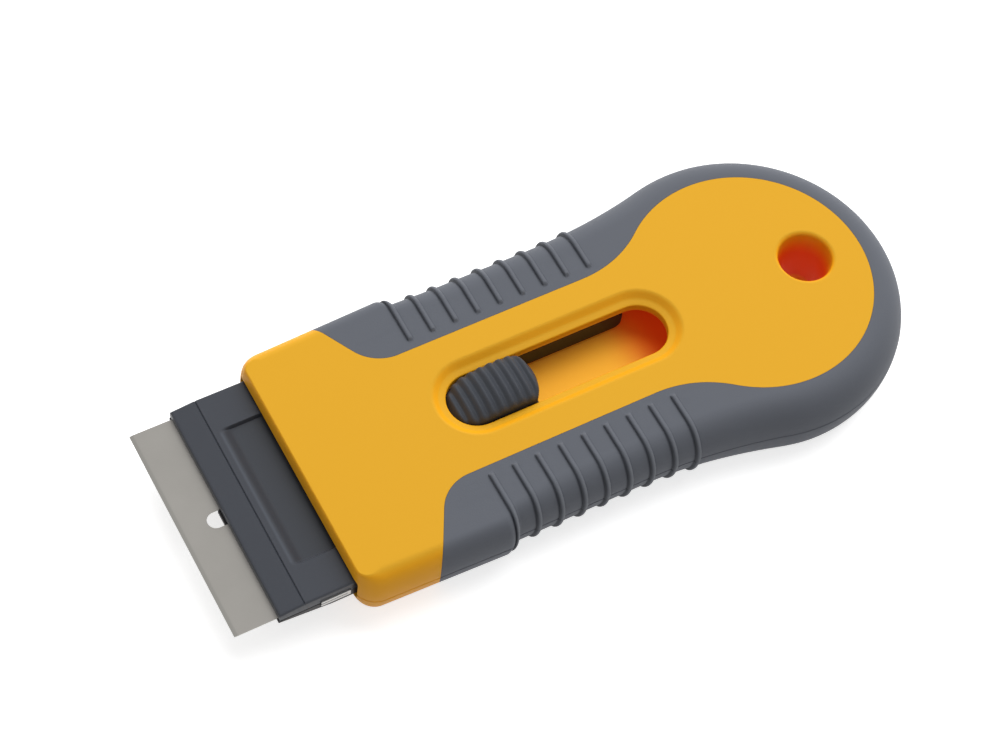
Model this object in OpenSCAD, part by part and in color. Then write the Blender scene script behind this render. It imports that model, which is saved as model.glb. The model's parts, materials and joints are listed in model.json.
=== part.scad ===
// Razor blade scraper: a flat two-shell handle, a sliding blade carriage and a sprung thumb button.
// The origin is on the hanging hole's axis, on the plane of the underside. The blade points to -X.

/* [Handle] */
// Thickness of the handle, from its underside to its flat top
body_t = 12; // [11.5:0.25:14]
// Distance from the hanging hole to the handle's front face
front_reach = 93.3; // [90:0.5:100]
// Wall beside the blade carriage, just behind the handle's front corners
front_side_wall = 2.95; // [2.5:0.05:4]
// Plan radius of the two front corners
front_corner_r = 4; // [3.6:0.2:6]
// How much the handle widens on each side along the flared front part
flare_swell = 0.75; // [0.2:0.05:2]
// Distance from the front face to the end of the flared front part
flare_len = 25.1; // [24:0.1:27]
// Length of the ramp from the flared part down to the waist
flare_ramp = 2.7; // [1.5:0.1:4]
// How much narrower the waist is than the flared part, on each side
waist_step = 1.45; // [0.5:0.05:2]
// How much wider the round head is than the waist, on each side
head_swell = 4; // [2.5:0.1:6]
// Distance from the hanging hole forward to the head's centre
head_offset = 11; // [9:0.5:13]
// Radius of the hollow curve between waist and head
head_blend_r = 100; // [60:5:140]
// Width of the rounded upper edge along the waist
top_round = 4.4; // [3:0.1:4.5]
// Width of the rounded upper edge round the head
head_top_round = 5.5; // [4:0.1:6]
// Width of the rounded lower edge along the waist
under_round = 4.4; // [2:0.1:4.5]
// Width of the rounded lower edge round the head
head_under_round = 2.4; // [1:0.1:4]
// Width of the small rounding on the front face
front_round = 2; // [0.6:0.1:2.4]
// Height of the widest line along the waist
widest_h = 7; // [6:0.1:7.5]
// Height of the widest line round the head
head_widest_h = 5.4; // [5:0.1:7]
// Height of the joint between the two shells
split_h = 6.3; // [5.9:0.1:6.6]
// Thickness of the top wall
top_wall = 2.6; // [2:0.1:3]
// Thickness of the floor
floor_wall = 2.4; // [2:0.1:2.6]
// Distance from the widest outline in to the hollow
side_wall = 4.4; // [4:0.1:4.8]
// Thickness of the wall under the mouth
lip_wall = 1.8; // [1.2:0.1:2.4]

/* [Hanging hole] */
// Radius of the hanging hole
hang_r = 4.5; // [3:0.1:4.8]
// Wall of the tube that lines the hanging hole
hang_wall = 1.9; // [1.2:0.1:2]

/* [Soft grip] */
// Thickness of the soft grip skin
grip_t = 1.5; // [1:0.1:1.6]
// Width of the grip along the waist
grip_band = 10.6; // [9.5:0.1:12]
// Width of the grip round the head
head_grip_band = 6; // [5:0.1:8]
// Distance from the hanging hole forward to the round panel's centre
panel_offset = 10.75; // [9:0.25:13]
// Radius of the curve from the bare strip to the round panel
panel_blend_r = 20; // [14:1:26]
// Distance from the front face to where the grip starts, at the side
grip_setback = 13.6; // [12:0.1:16]
// Lean of the grip's front edge away from square
grip_lean = 29; // [15:1:35]
// Radius of the grip's front inner corner
grip_corner_r = 7; // [4:0.5:8]
// Number of ribs on each side
rib_count = 9; // [5:1:10]
// Distance from one rib to the next
rib_pitch = 4.1; // [3.6:0.1:4.3]
// Distance from the end of the flared part to the first rib
rib_start = 1.6; // [1:0.1:3]
// Width of a rib
rib_w = 0.8; // [0.5:0.1:1.2]
// Height of a rib above the grip
rib_rise = 0.5; // [0.3:0.05:0.8]
// Distance from the bare strip to a rib's inner end
rib_inset = 1.6; // [1:0.1:3]
// Height above the underside at which the ribs stop
rib_foot = 1.2; // [0.8:0.1:2]

/* [Thumb slot] */
// Distance from the front face to the slot's front end
slot_setback = 26.6; // [25:0.1:30]
// Half width of the slot
slot_half_w = 4.75; // [4.4:0.05:5]
// Width of the sloped edge round the slot
slot_bevel = 2.2; // [1.2:0.1:2.6]
// Depth of the sloped edge round the slot
slot_bevel_depth = 1.7; // [1:0.1:2]
// How much longer the slot is than the button's travel
slot_spare = 2.5; // [2.2:0.1:4]

/* [Blade] */
// Length of the blade's cutting edge
blade_len = 38.1; // [37:0.1:38.5]
// Depth of the blade from its edge to the back of its spine
blade_depth = 19.05; // [18:0.05:20]
// Thickness of the blade
blade_t = 0.23; // [0.2:0.01:0.3]
// Width of the ground edge
blade_bevel = 0.9; // [0.5:0.1:1.4]
// Width of the folded spine
spine_w = 5; // [4:0.1:5.5]
// Thickness of the spine's folded sheet
spine_sheet = 0.48; // [0.25:0.01:0.55]
// How far the spine reaches past the blade's end, on each side
spine_over = 0.9; // [0.1:0.1:1.2]
// Width of the slot in the blade
notch_w = 2.9; // [2.4:0.1:3.4]
// Distance from the cutting edge to the slot in the blade
notch_setback = 4.5; // [3.5:0.1:5]
// Length of the slot in the blade
notch_len = 8.6; // [7.6:0.1:9]

/* [Carriage] */
// How far the blade stands out of the carriage
blade_show = 7.05; // [6.5:0.05:7.3]
// How far the carriage's cover stands out of the handle
carriage_show = 12.1; // [11:0.1:12.4]
// How far the base stands out in front of the cover
base_lead = 0.15; // [0.05:0.05:0.5]
// How far the carriage reaches past the blade's end, on each side
carriage_side = 0.6; // [0.2:0.05:0.8]
// Thickness of the cover above the blade
cover_t = 1.95; // [1.7:0.05:2.1]
// Thickness of the cover's front edge
cover_nose_t = 1.45; // [0.6:0.05:1.6]
// Length of the cover's sloped nose
cover_nose_len = 4.2; // [3:0.1:5]
// Half width of the sunken panel in the cover
cover_panel_half_w = 13; // [11:0.1:14]
// Depth of the sunken panel in the cover
cover_panel_depth = 0.7; // [0.4:0.05:0.9]
// Distance from the nose to the sunken panel
cover_panel_setback = 1.1; // [0.6:0.1:2]
// Length of the sunken panel's ramp
cover_panel_ramp = 3; // [2:0.1:4]
// Length of the cover's tail behind the blade holder
cover_tail = 11.5; // [10:0.5:12]
// Thickness of the base under the blade
base_t = 1.7; // [1.4:0.05:1.9]
// Thickness of the base's front edge
base_nose_t = 0.5; // [0.4:0.05:1]
// Length of the slope under the base's front edge
base_nose_len = 9; // [7:0.5:10]
// Wall behind the blade's spine
holder_wall = 1.6; // [1.2:0.1:2]
// Width of the tab that locates the blade
tab_w = 2.7; // [2:0.1:2.8]
// Length of the tab that locates the blade
tab_len = 6; // [4:0.1:6.2]
// Radius of the pegs that hold the cover
peg_r = 1.5; // [1.2:0.1:1.8]
// Distance from the middle to a cover peg
peg_y = 10; // [9.5:0.1:10.2]
// Thickness of a tail rail
rail_t = 1.8; // [1.4:0.1:2]
// Distance from the holder to the rails' front ends
rail_setback = 5; // [4:0.5:8]
// How far the rails reach behind the button
rail_tail = 20; // [15:0.5:20]
// Thickness of the plate under the button
well_t = 1.8; // [1.4:0.1:2]
// Thickness of the cross walls at the button's ends
well_wall = 1.2; // [0.8:0.1:1.3]
// How far the carriage slides back
travel = 21.5; // [20:0.5:23]

/* [Thumb button] */
// Length of the button
button_len = 15; // [14:0.1:16]
// Height of the button's crown above the handle
button_rise = 1.6; // [1:0.1:2]
// Radius of the crown along the button
crown_len_r = 15; // [14:1:24]
// Radius of the crown across the button
crown_cross_r = 8.7; // [8:0.1:14]
// Distance from the button's front end to the top of its crown
crown_setback = 9.4; // [8:0.1:10]
// Radius of the button's rear end
button_end_r = 7; // [6:0.1:8]
// Number of grooves across the button
groove_count = 8; // [5:1:8]
// Distance from one groove to the next
groove_pitch = 1.75; // [1.5:0.05:1.8]
// Radius of a groove
groove_r = 0.55; // [0.3:0.05:0.7]
// Distance the button presses in
press_depth = 1.2; // [0.8:0.1:1.4]
// Thickness of the flange that keeps the button in
flange_t = 1.2; // [0.9:0.1:1.4]
// Half width of the flange that keeps the button in
flange_half_w = 5.5; // [5.3:0.05:5.7]
// How far the flange stops short of the button's rear end
flange_setback = 2; // [1.6:0.1:2.4]
// Thickness of the button over its spring
button_roof = 2.2; // [1.8:0.1:2.6]
// Mean radius of the spring
spring_r = 2.2; // [2.05:0.05:2.3]
// Thickness of the spring's wire
wire_d = 0.45; // [0.35:0.05:0.5]
// Number of turns in the spring
spring_turns = 5; // [4:0.5:6]
// Radius of the peg inside the spring
spigot_r = 1.6; // [1:0.1:1.7]
// Height of the peg inside the spring
spigot_h = 1.6; // [1:0.1:2]

/* [Screws] */
// Radius of a screw's head
screw_head_r = 2.6; // [2.2:0.1:2.8]
// Height of a screw's head
screw_head_h = 1.6; // [1.2:0.1:1.7]
// Radius of a screw's shank
screw_r = 1.3; // [1:0.1:1.5]
// Length of a screw's shank
screw_len = 8; // [6.5:0.1:8.2]
// How deep a screw's head lies below the underside
screw_recess = 0.4; // [0.2:0.05:0.6]
// Width of the cross in a screw's head
cross_w = 0.8; // [0.6:0.1:1]
// Share of the head's height that the cross goes down
cross_depth_share = 0.6; // [0.4:0.05:0.8]
// Share of the head's radius that the cross reaches
cross_reach_share = 0.65; // [0.5:0.05:0.8]
// Share of the shank's radius that is left at the point
point_share = 0.25; // [0.1:0.05:0.5]
// Wall of a boss round its screw's head
boss_wall = 0.8; // [0.6:0.1:1]
// Distance from the middle to a waist screw
waist_screw_y = 14.2; // [13.8:0.1:14.4]
// Distance from the slot's front end back to the waist screws
waist_screw_setback = 16; // [15.2:0.1:20]
// Distance from the middle to a head screw
head_screw_y = 14.5; // [14:0.1:15.5]
// Distance from the hanging hole forward to the head screws
head_screw_reach = 13; // [9:0.5:16]

/* [Clearances] */
// Gap between the carriage and the shells, above, below and beside it
slide_gap = 0.3; // [0.25:0.01:0.35]
// Gap round the button in its slot
button_gap = 0.35; // [0.3:0.01:0.4]
// Gap between the blade's spine and its groove
spine_gap = 0.05; // [0.02:0.01:0.1]
// Gap round the cover pegs and the screws in their holes
peg_gap = 0.05; // [0.02:0.01:0.1]
// Gap round the hanging tube in the lower shell
tube_gap = 0.05; // [0.02:0.01:0.1]

/* [Hidden] */
$fn = 48;
// How far a cutting shape runs past what it cuts
overrun = 1;
// Colours as they look on the real tool
yellow = [0.91, 0.67, 0.19];
soft_grey = [0.40, 0.42, 0.45];
dark_grey = [0.29, 0.31, 0.33];
near_black = [0.12, 0.12, 0.13];
steel = [0.62, 0.62, 0.60];

// Half widths, from the blade outwards
carriage_half_w = blade_len / 2 + carriage_side;
spine_half_w = blade_len / 2 + spine_over;
pocket_half_w = max(carriage_half_w, spine_half_w) + slide_gap;
front_half_w = pocket_half_w + front_side_wall;
flare_half_w = front_half_w + flare_swell;
waist_half_w = flare_half_w - waist_step;
head_r = waist_half_w + head_swell;
panel_half_w = waist_half_w - grip_band;
panel_r = head_r - head_grip_band;

// Places along the handle
front_x = -front_reach;
head_x = -head_offset;
rear_x = head_x + head_r;
panel_x = -panel_offset;
flare_end_x = front_x + flare_len;
waist_x = flare_end_x + flare_ramp;
slot_front_x = front_x + slot_setback;
button_front_x = slot_front_x + button_gap;
button_rear_x = button_front_x + button_len;
slot_rear_x = button_rear_x + travel + slot_spare + button_gap;
cover_front_x = front_x - carriage_show;
base_front_x = cover_front_x - base_lead;
blade_front_x = base_front_x - blade_show;
blade_back_x = blade_front_x + blade_depth;
spine_front_x = blade_back_x - spine_w;
holder_back_x = blade_back_x + spine_gap + holder_wall;
rail_front_x = holder_back_x + rail_setback;
rail_back_x = button_rear_x + rail_tail;

// Heights
ceiling_z = body_t - top_wall;
cover_top_z = ceiling_z - slide_gap;
blade_top_z = cover_top_z - cover_t;
blade_under_z = blade_top_z - blade_t;
base_under_z = blade_under_z - base_t;
pocket_z = base_under_z - slide_gap;
panel_top_z = cover_top_z - cover_panel_depth;
flange_top_z = ceiling_z - slide_gap;
flange_under_z = flange_top_z - flange_t;
well_top_z = flange_under_z - press_depth - slide_gap;
well_under_z = well_top_z - well_t;
crown_z = body_t + button_rise;
spring_top_z = crown_z - button_roof;
screw_seat_z = screw_recess + screw_head_h;
screw_tip_z = screw_seat_z + screw_len;

// Half widths inside the handle
rail_in_y = flange_half_w + slide_gap;
rail_out_y = rail_in_y + rail_t;
button_half_w = slot_half_w - button_gap;

// Plan of the handle. Each entry is [x, y, inset direction x, inset direction y, head share, side share].
corner_steps = 4;
flare_steps = 2;
ramp_steps = 3;
waist_steps = 10;
neck_steps = 3;
head_steps = 12;
round_steps = 5;
function smooth(t) = let (c = max(0, min(1, t))) c * c * (3 - 2 * c);
function mix(a, b, t) = a + (b - a) * t;
function blend_start(line_y, circle_x, circle_r, blend_r) =
    circle_x - sqrt((circle_r - line_y) * (circle_r + line_y + 2 * blend_r));
function blend_angle(line_y, circle_x, circle_r, blend_r) =
    asin((circle_x - blend_start(line_y, circle_x, circle_r, blend_r)) / (circle_r + blend_r));
head_blend_x = blend_start(waist_half_w, head_x, head_r, head_blend_r);
head_angle = blend_angle(waist_half_w, head_x, head_r, head_blend_r);
head_start_x = head_x - head_r * sin(head_angle);
flank_start_x = front_x + front_corner_r;
function flank_y(x) =
    x < flare_end_x
        ? mix(front_half_w, flare_half_w, (x - flank_start_x) / (flare_end_x - flank_start_x))
    : x < waist_x
        ? mix(flare_half_w, waist_half_w, smooth((x - flare_end_x) / flare_ramp))
    : x < head_blend_x
        ? waist_half_w
    : waist_half_w + head_blend_r - sqrt(pow(head_blend_r, 2) - pow(x - head_blend_x, 2));
function head_share(x) = smooth((x - head_blend_x) / (head_x - head_blend_x));
flank_xs = concat(
    [for (i = [1 : flare_steps]) mix(flank_start_x, flare_end_x, i / flare_steps)],
    [for (i = [1 : ramp_steps]) flare_end_x + flare_ramp * i / ramp_steps],
    [for (i = [1 : waist_steps]) mix(waist_x, head_start_x, i / waist_steps)]
);
half_plan = concat(
    [for (i = [0 : corner_steps])
        let (a = 90 * i / corner_steps)
        [flank_start_x - front_corner_r * cos(a), front_half_w - front_corner_r + front_corner_r * sin(a),
         -cos(a), sin(a), 0, pow(sin(a), 2)]],
    [for (x = flank_xs) [x, flank_y(x), 0, 1, head_share(x), 1]],
    [for (i = [1 : neck_steps + head_steps])
        let (a = i < neck_steps ? 90 + head_angle * (1 - i / neck_steps) : 90 * (1 - (i - neck_steps) / head_steps))
        [head_x + head_r * cos(a), head_r * sin(a), cos(a), sin(a), head_share(head_x + head_r * cos(a)), 1]]
);
plan = concat(
    half_plan,
    [for (i = [len(half_plan) - 2 : -1 : 0])
        let (e = half_plan[i]) [e[0], -e[1], e[2], -e[3], e[4], e[5]]]
);

// Share by which the surface draws in at one share of the height of its rounding
function draw_in(share) = 1 - sqrt(max(0, 1 - share * share));
// Distance from the widest outline in to the surface, for a place with one head share and side share
function surface_inset(z, head, side, grow) =
    let (
        mid = mix(widest_h, head_widest_h, head),
        over = mix(top_round, head_top_round, head),
        under = mix(under_round, head_under_round, head)
    )
    z > mid
        ? mix(front_round, over, side) * draw_in((z - mid) / (body_t + grow - mid)) - grow
        : mix(front_round, under, side) * draw_in((mid - z) / (mid + grow)) - grow;
// Heights of the surface's levels, from the joint between the shells to the top or to the underside
function level_zs(high, grow) = [for (i = [0 : round_steps])
    mix(split_h, high ? body_t + grow : -grow, sin(90 * i / round_steps))];

// One half of the handle's outer form, grown or shrunk all round. It runs on past the shells' joint by a tail,
// and the box cuts it flat at both ends.
module half_form(high, grow = 0, tail = 0) {
    way = high ? 1 : -1;
    far_z = high ? body_t + grow : -grow;
    rising = concat([split_h - way * (tail + overrun)], level_zs(high, grow), [far_z + way * overrun]);
    zs = high ? rising : [for (i = [len(rising) - 1 : -1 : 0]) rising[i]];
    count = len(plan);
    points = [for (z = zs, e = plan)
        let (
            place = high ? max(split_h, min(z, far_z)) : min(split_h, max(z, far_z)),
            inset = surface_inset(place, e[4], e[5], grow)
        )
        [e[0] - e[2] * inset, e[1] - e[3] * inset, z]];
    intersection() {
        polyhedron(points, concat(
            [[for (i = [count - 1 : -1 : 0]) i]],
            [[for (i = [0 : count - 1]) (len(zs) - 1) * count + i]],
            [for (k = [0 : len(zs) - 2], i = [0 : count - 1], half = [0, 1])
                let (a = k * count + i, b = k * count + (i + 1) % count)
                half == 0 ? [a, b + count, a + count] : [a, b, b + count]]
        ), convexity = 4);
        slab(high ? split_h - tail : far_z, high ? far_z : split_h + tail);
    }
}

// Plan of the bare panel between the grips
reach = 2 * head_r;
panel_arc_steps = 8;
panel_corner_x = front_x + grip_setback + (waist_half_w - panel_half_w) * tan(grip_lean);
panel_blend_x = blend_start(panel_half_w, panel_x, panel_r, panel_blend_r);
panel_angle = blend_angle(panel_half_w, panel_x, panel_r, panel_blend_r);
corner_run = grip_corner_r * tan((90 - grip_lean) / 2);
half_panel = concat(
    [[front_x - reach, reach],
     [panel_corner_x - (reach - panel_half_w) * tan(grip_lean), reach]],
    [for (i = [panel_arc_steps : -1 : 0])
        let (a = (90 - grip_lean) * i / panel_arc_steps)
        [panel_corner_x + corner_run - grip_corner_r * sin(a),
         panel_half_w + grip_corner_r - grip_corner_r * cos(a)]],
    [for (i = [0 : panel_arc_steps])
        let (a = panel_angle * i / panel_arc_steps)
        [panel_blend_x + panel_blend_r * sin(a), panel_half_w + panel_blend_r * (1 - cos(a))]],
    [for (i = [1 : 2 * panel_arc_steps])
        let (a = (90 + panel_angle) * (1 - i / (2 * panel_arc_steps)))
        [panel_x + panel_r * cos(a), panel_r * sin(a)]]
);
module panel_plan() {
    polygon(concat(half_panel, [for (i = [len(half_panel) - 2 : -1 : 0]) [half_panel[i][0], -half_panel[i][1]]]));
}

// Places of the four screws
screw_places = [
    for (side = [1, -1]) [slot_front_x + waist_screw_setback, side * waist_screw_y],
    for (side = [1, -1]) [-head_screw_reach, side * head_screw_y]
];
boss_r = screw_head_r + peg_gap + boss_wall;

module across(half_w) {
    translate([0, half_w, 0]) rotate([90, 0, 0]) linear_extrude(2 * half_w) children();
}
module stadium(from_x, to_x, r) {
    translate([from_x + r, 0]) circle(r);
    translate([to_x - r, 0]) circle(r);
    translate([from_x + r, -r]) square([to_x - from_x - 2 * r, 2 * r]);
}
module box(from, to) {
    translate(from) cube(to - from);
}
// Everything between two heights
module slab(from_z, to_z) {
    box([front_x - reach, -reach, from_z], [rear_x + reach, reach, to_z]);
}
module panel_prism() {
    translate([0, 0, -overrun]) linear_extrude(body_t + 2 * overrun) panel_plan();
}
// A shell's outside: full size at the bare panel, and smaller by the grip's thickness under the grip
module shell_form(high) {
    intersection() {
        union() {
            intersection() {
                half_form(high, 0, overrun);
                panel_prism();
            }
            half_form(high, -grip_t, 2 * overrun);
        }
        slab(high ? split_h : -overrun, high ? body_t + overrun : split_h);
    }
}
module grip_form(high) {
    difference() {
        half_form(high);
        half_form(high, -grip_t, overrun);
        panel_prism();
    }
}
// The shells' common hollow, with the pocket that the blade carriage slides in
module hollow() {
    half = waist_half_w - side_wall;
    translate([0, 0, floor_wall]) linear_extrude(ceiling_z - floor_wall) {
        translate([head_x, 0]) circle(head_r - side_wall);
        translate([front_x + lip_wall, -half]) square([head_x - front_x - lip_wall, 2 * half]);
    }
    pocket();
}
module pocket() {
    box([front_x - overrun, -pocket_half_w, pocket_z],
        [holder_back_x + travel + slide_gap, pocket_half_w, ceiling_z]);
}

// Upper half of the handle, with the slot, the hanging tube and the screw bosses
module upper_shell() {
    color(yellow) difference() {
        union() {
            difference() {
                shell_form(true);
                hollow();
            }
            cylinder(h = ceiling_z + top_wall / 2, r = hang_r + hang_wall);
            for (p = screw_places)
                translate([p[0], p[1], split_h]) cylinder(h = screw_tip_z + slide_gap - split_h, r = boss_r);
        }
        translate([0, 0, -overrun]) cylinder(h = body_t + 2 * overrun, r = hang_r);
        translate([0, 0, ceiling_z - overrun]) linear_extrude(top_wall + 2 * overrun)
            stadium(slot_front_x, slot_rear_x, slot_half_w);
        slot_edge();
        for (p = screw_places)
            translate([p[0], p[1], 0]) cylinder(h = screw_tip_z + slide_gap, r = screw_r + peg_gap);
    }
}
// Sloped edge round the thumb slot
module slot_edge() {
    low_z = body_t - slot_bevel_depth;
    grow = slot_bevel / slot_bevel_depth;
    low_r = slot_half_w;
    high_r = slot_half_w + slot_bevel + overrun * grow;
    for (x = [slot_front_x + slot_half_w, slot_rear_x - slot_half_w])
        translate([x, 0, low_z]) cylinder(h = slot_bevel_depth + overrun, r1 = low_r, r2 = high_r);
    translate([slot_front_x + slot_half_w, 0, 0]) rotate([90, 0, 90])
        linear_extrude(slot_rear_x - slot_front_x - 2 * slot_half_w)
            polygon([[-low_r, low_z], [low_r, low_z], [high_r, body_t + overrun], [-high_r, body_t + overrun]]);
}

// Lower half of the handle, with the table under the rails, the carriage's supports and the screw bosses
module lower_shell() {
    color(yellow) difference() {
        union() {
            difference() {
                shell_form(false);
                hollow();
            }
            lower_ribs();
            for (p = screw_places) translate([p[0], p[1], 0]) cylinder(h = split_h, r = boss_r);
        }
        translate([0, 0, -overrun]) cylinder(h = body_t, r = hang_r + hang_wall + tube_gap);
        for (p = screw_places) {
            translate([p[0], p[1], -overrun]) cylinder(h = screw_seat_z + overrun, r = screw_head_r + peg_gap);
            translate([p[0], p[1], 0]) cylinder(h = body_t, r = screw_r + peg_gap);
        }
    }
}
module lower_ribs() {
    table_back_x = head_x - head_offset / 2;
    table_half_w = rail_out_y + well_wall;
    foot_z = (grip_t + floor_wall) / 2;
    // Raised table under the tail rails
    box([waist_x, -table_half_w, foot_z], [table_back_x, table_half_w, well_under_z - slide_gap]);
    // Supports under the blade carriage
    for (side = [1, -1])
        translate([front_x + lip_wall / 2, side * cover_panel_half_w - well_wall / 2, foot_z])
            cube([flare_len - lip_wall, well_wall, pocket_z - foot_z]);
}

// Soft grip on the upper half, one piece from side to side round the head
module upper_grip() {
    color(soft_grey) {
        grip_form(true);
        ribs(level_zs(true, rib_rise), panel_half_w + rib_inset);
    }
}
// Soft grip on the lower half, with openings for the waist screws' bosses
module lower_grip() {
    color(soft_grey) {
        difference() {
            grip_form(false);
            for (p = screw_places) translate([p[0], p[1], -overrun]) cylinder(h = body_t, r = boss_r);
        }
        ribs([for (i = [0 : round_steps]) mix(split_h, rib_foot, i / round_steps)], 0);
    }
}
// A row of ribs on each side, each following the grip's surface between two depths
module ribs(zs, stop_y) {
    for (i = [0 : rib_count - 1], side = [1, -1]) {
        x = flare_end_x + rib_start + i * rib_pitch;
        outer = [for (z = zs) [flank_y(x) - surface_inset(z, head_share(x), 1, rib_rise), z]];
        inner = [for (k = [len(zs) - 1 : -1 : 0])
            [outer[k][0] - rib_rise - grip_t / 2, min(zs[k], body_t - grip_t / 2)]];
        profile = concat(outer, stop_y > 0 ? [[stop_y, body_t + rib_rise], [stop_y, body_t - grip_t / 2]] : [], inner);
        translate([x - rib_w / 2, 0, 0]) rotate([90, 0, 90]) linear_extrude(rib_w)
            polygon([for (p = profile) [side * p[0], p[1]]]);
    }
}

// Lower plate of the blade carriage, with the tab, the cover pegs, the button's well and the two tail rails
module blade_carrier() {
    color(near_black) {
        difference() {
            union() {
                across(carriage_half_w) polygon([
                    [base_front_x, blade_under_z],
                    [base_front_x, blade_under_z - base_nose_t],
                    [base_front_x + base_nose_len, base_under_z],
                    [holder_back_x, base_under_z],
                    [holder_back_x, blade_top_z],
                    [blade_back_x + spine_gap, blade_top_z],
                    [blade_back_x + spine_gap, blade_under_z]
                ]);
                box([base_front_x - blade_t, -tab_w / 2, blade_under_z - base_nose_t],
                    [base_front_x - blade_t + tab_len, tab_w / 2, blade_top_z]);
                box([holder_back_x - holder_wall, -cover_panel_half_w + slide_gap, base_under_z],
                    [holder_back_x + cover_tail, cover_panel_half_w - slide_gap, blade_top_z]);
                for (side = [1, -1])
                    translate([peg_x, side * peg_y, base_under_z]) cylinder(h = panel_top_z - base_under_z, r = peg_r);
            }
            box([spine_front_x - spine_gap, -reach, blade_under_z - spine_sheet - spine_gap],
                [blade_back_x + spine_gap, reach, blade_top_z + overrun]);
        }
        difference() {
            union() {
                for (y = [-rail_out_y, rail_in_y])
                    box([rail_front_x, y, well_under_z], [rail_back_x, y + rail_t, flange_top_z]);
                box([rail_front_x, -rail_out_y, base_under_z], [well_front_x, rail_out_y, blade_top_z]);
                box([well_front_x - well_wall, -rail_out_y, well_under_z], [well_front_x, rail_out_y, flange_top_z]);
                box([well_front_x, -rail_out_y, well_under_z], [well_back_x, rail_out_y, well_top_z]);
                box([well_back_x, -rail_out_y, well_under_z], [well_back_x + well_wall, rail_out_y, flange_under_z]);
            }
            box([holder_back_x, -reach, blade_top_z], [holder_back_x + cover_tail + slide_gap, reach, body_t]);
        }
        translate([spring_x, 0, well_top_z - spine_sheet]) cylinder(h = spigot_h + spine_sheet, r = spigot_r);
    }
}
peg_x = holder_back_x + cover_tail / 2;
flange_back_x = button_rear_x - flange_setback;
well_front_x = button_front_x - button_gap;
well_back_x = flange_back_x + button_gap;
spring_x = (well_front_x + well_back_x) / 2;

// Upper plate of the blade carriage, clamped over the blade
module carrier_cover() {
    ramp_x = cover_front_x + cover_nose_len + cover_panel_setback;
    color(dark_grey) difference() {
        union() {
            across(carriage_half_w) polygon([
                [cover_front_x, blade_top_z],
                [holder_back_x, blade_top_z],
                [holder_back_x, cover_top_z],
                [cover_front_x + cover_nose_len, cover_top_z],
                [cover_front_x, blade_top_z + cover_nose_t]
            ]);
            box([holder_back_x - holder_wall, -cover_panel_half_w + slide_gap, blade_top_z],
                [holder_back_x + cover_tail, cover_panel_half_w - slide_gap, panel_top_z]);
        }
        // Sunken panel with its ramp
        across(cover_panel_half_w) polygon([
            [ramp_x, cover_top_z],
            [ramp_x + cover_panel_ramp, panel_top_z],
            [holder_back_x + overrun, panel_top_z],
            [holder_back_x + overrun, cover_top_z + overrun],
            [ramp_x, cover_top_z + overrun]
        ]);
        // Groove for the blade's spine
        box([spine_front_x - spine_gap, -reach, blade_top_z - overrun],
            [blade_back_x + spine_gap, reach, blade_top_z + spine_sheet + spine_gap]);
        for (side = [1, -1])
            translate([peg_x, side * peg_y, blade_top_z - overrun])
                cylinder(h = cover_t + 2 * overrun, r = peg_r + peg_gap);
    }
}

// Single-edge blade with its ground edge and its slot
module blade() {
    color(steel) difference() {
        across(blade_len / 2) polygon([
            [blade_front_x, (blade_top_z + blade_under_z) / 2],
            [blade_front_x + blade_bevel, blade_under_z],
            [blade_back_x - spine_sheet, blade_under_z],
            [blade_back_x - spine_sheet, blade_top_z],
            [blade_front_x + blade_bevel, blade_top_z]
        ]);
        translate([0, 0, blade_under_z - overrun]) linear_extrude(blade_t + 2 * overrun)
            stadium(blade_front_x + notch_setback, blade_front_x + notch_setback + notch_len, notch_w / 2);
    }
}
// Folded steel spine on the blade's back
module blade_spine() {
    color(steel) difference() {
        box([spine_front_x, -spine_half_w, blade_under_z - spine_sheet],
            [blade_back_x, spine_half_w, blade_top_z + spine_sheet]);
        box([spine_front_x - overrun, -reach, blade_under_z],
            [blade_back_x - spine_sheet, reach, blade_top_z]);
    }
}

// Plan of the thumb button: a round front end and a flatter rear end
module button_plan() {
    end_x = button_rear_x - button_end_r;
    translate([button_front_x + button_half_w, 0]) circle(button_half_w);
    translate([button_front_x + button_half_w, -button_half_w])
        square([end_x - button_front_x - button_half_w, 2 * button_half_w]);
    intersection() {
        translate([end_x, 0]) circle(button_end_r);
        translate([end_x - overrun / 2, -button_half_w]) square([button_len, 2 * button_half_w]);
    }
}
// Crowned and grooved thumb button with its flange and its spring pocket. Its rear end hangs over the well's wall.
module thumb_button() {
    crown_x = button_front_x + crown_setback;
    color(dark_grey) difference() {
        union() {
            intersection() {
                translate([0, 0, flange_under_z]) linear_extrude(crown_z + overrun - flange_under_z) button_plan();
                translate([crown_x, 0, crown_z - crown_len_r]) rotate([90, 0, 0])
                    cylinder(h = 2 * reach, r = crown_len_r, center = true);
                translate([crown_x, 0, crown_z - crown_cross_r]) rotate([0, 90, 0])
                    cylinder(h = 2 * reach, r = crown_cross_r, center = true);
            }
            box([button_front_x, -flange_half_w, flange_under_z], [flange_back_x, flange_half_w, flange_top_z]);
        }
        box([flange_back_x, -reach, flange_under_z - overrun], [button_rear_x + overrun, reach, ceiling_z]);
        for (i = [0 : groove_count - 1]) {
            a = (i - groove_count / 2) * groove_pitch / crown_len_r * 180 / PI;
            translate([crown_x + crown_len_r * sin(a), 0, crown_z - crown_len_r + crown_len_r * cos(a)])
                rotate([90, 0, 0]) cylinder(h = 2 * reach, r = groove_r, center = true);
        }
        translate([spring_x, 0, flange_under_z - overrun])
            cylinder(h = spring_top_z - flange_under_z + overrun, r = spring_r + wire_d / 2 + button_gap);
    }
}

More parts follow.
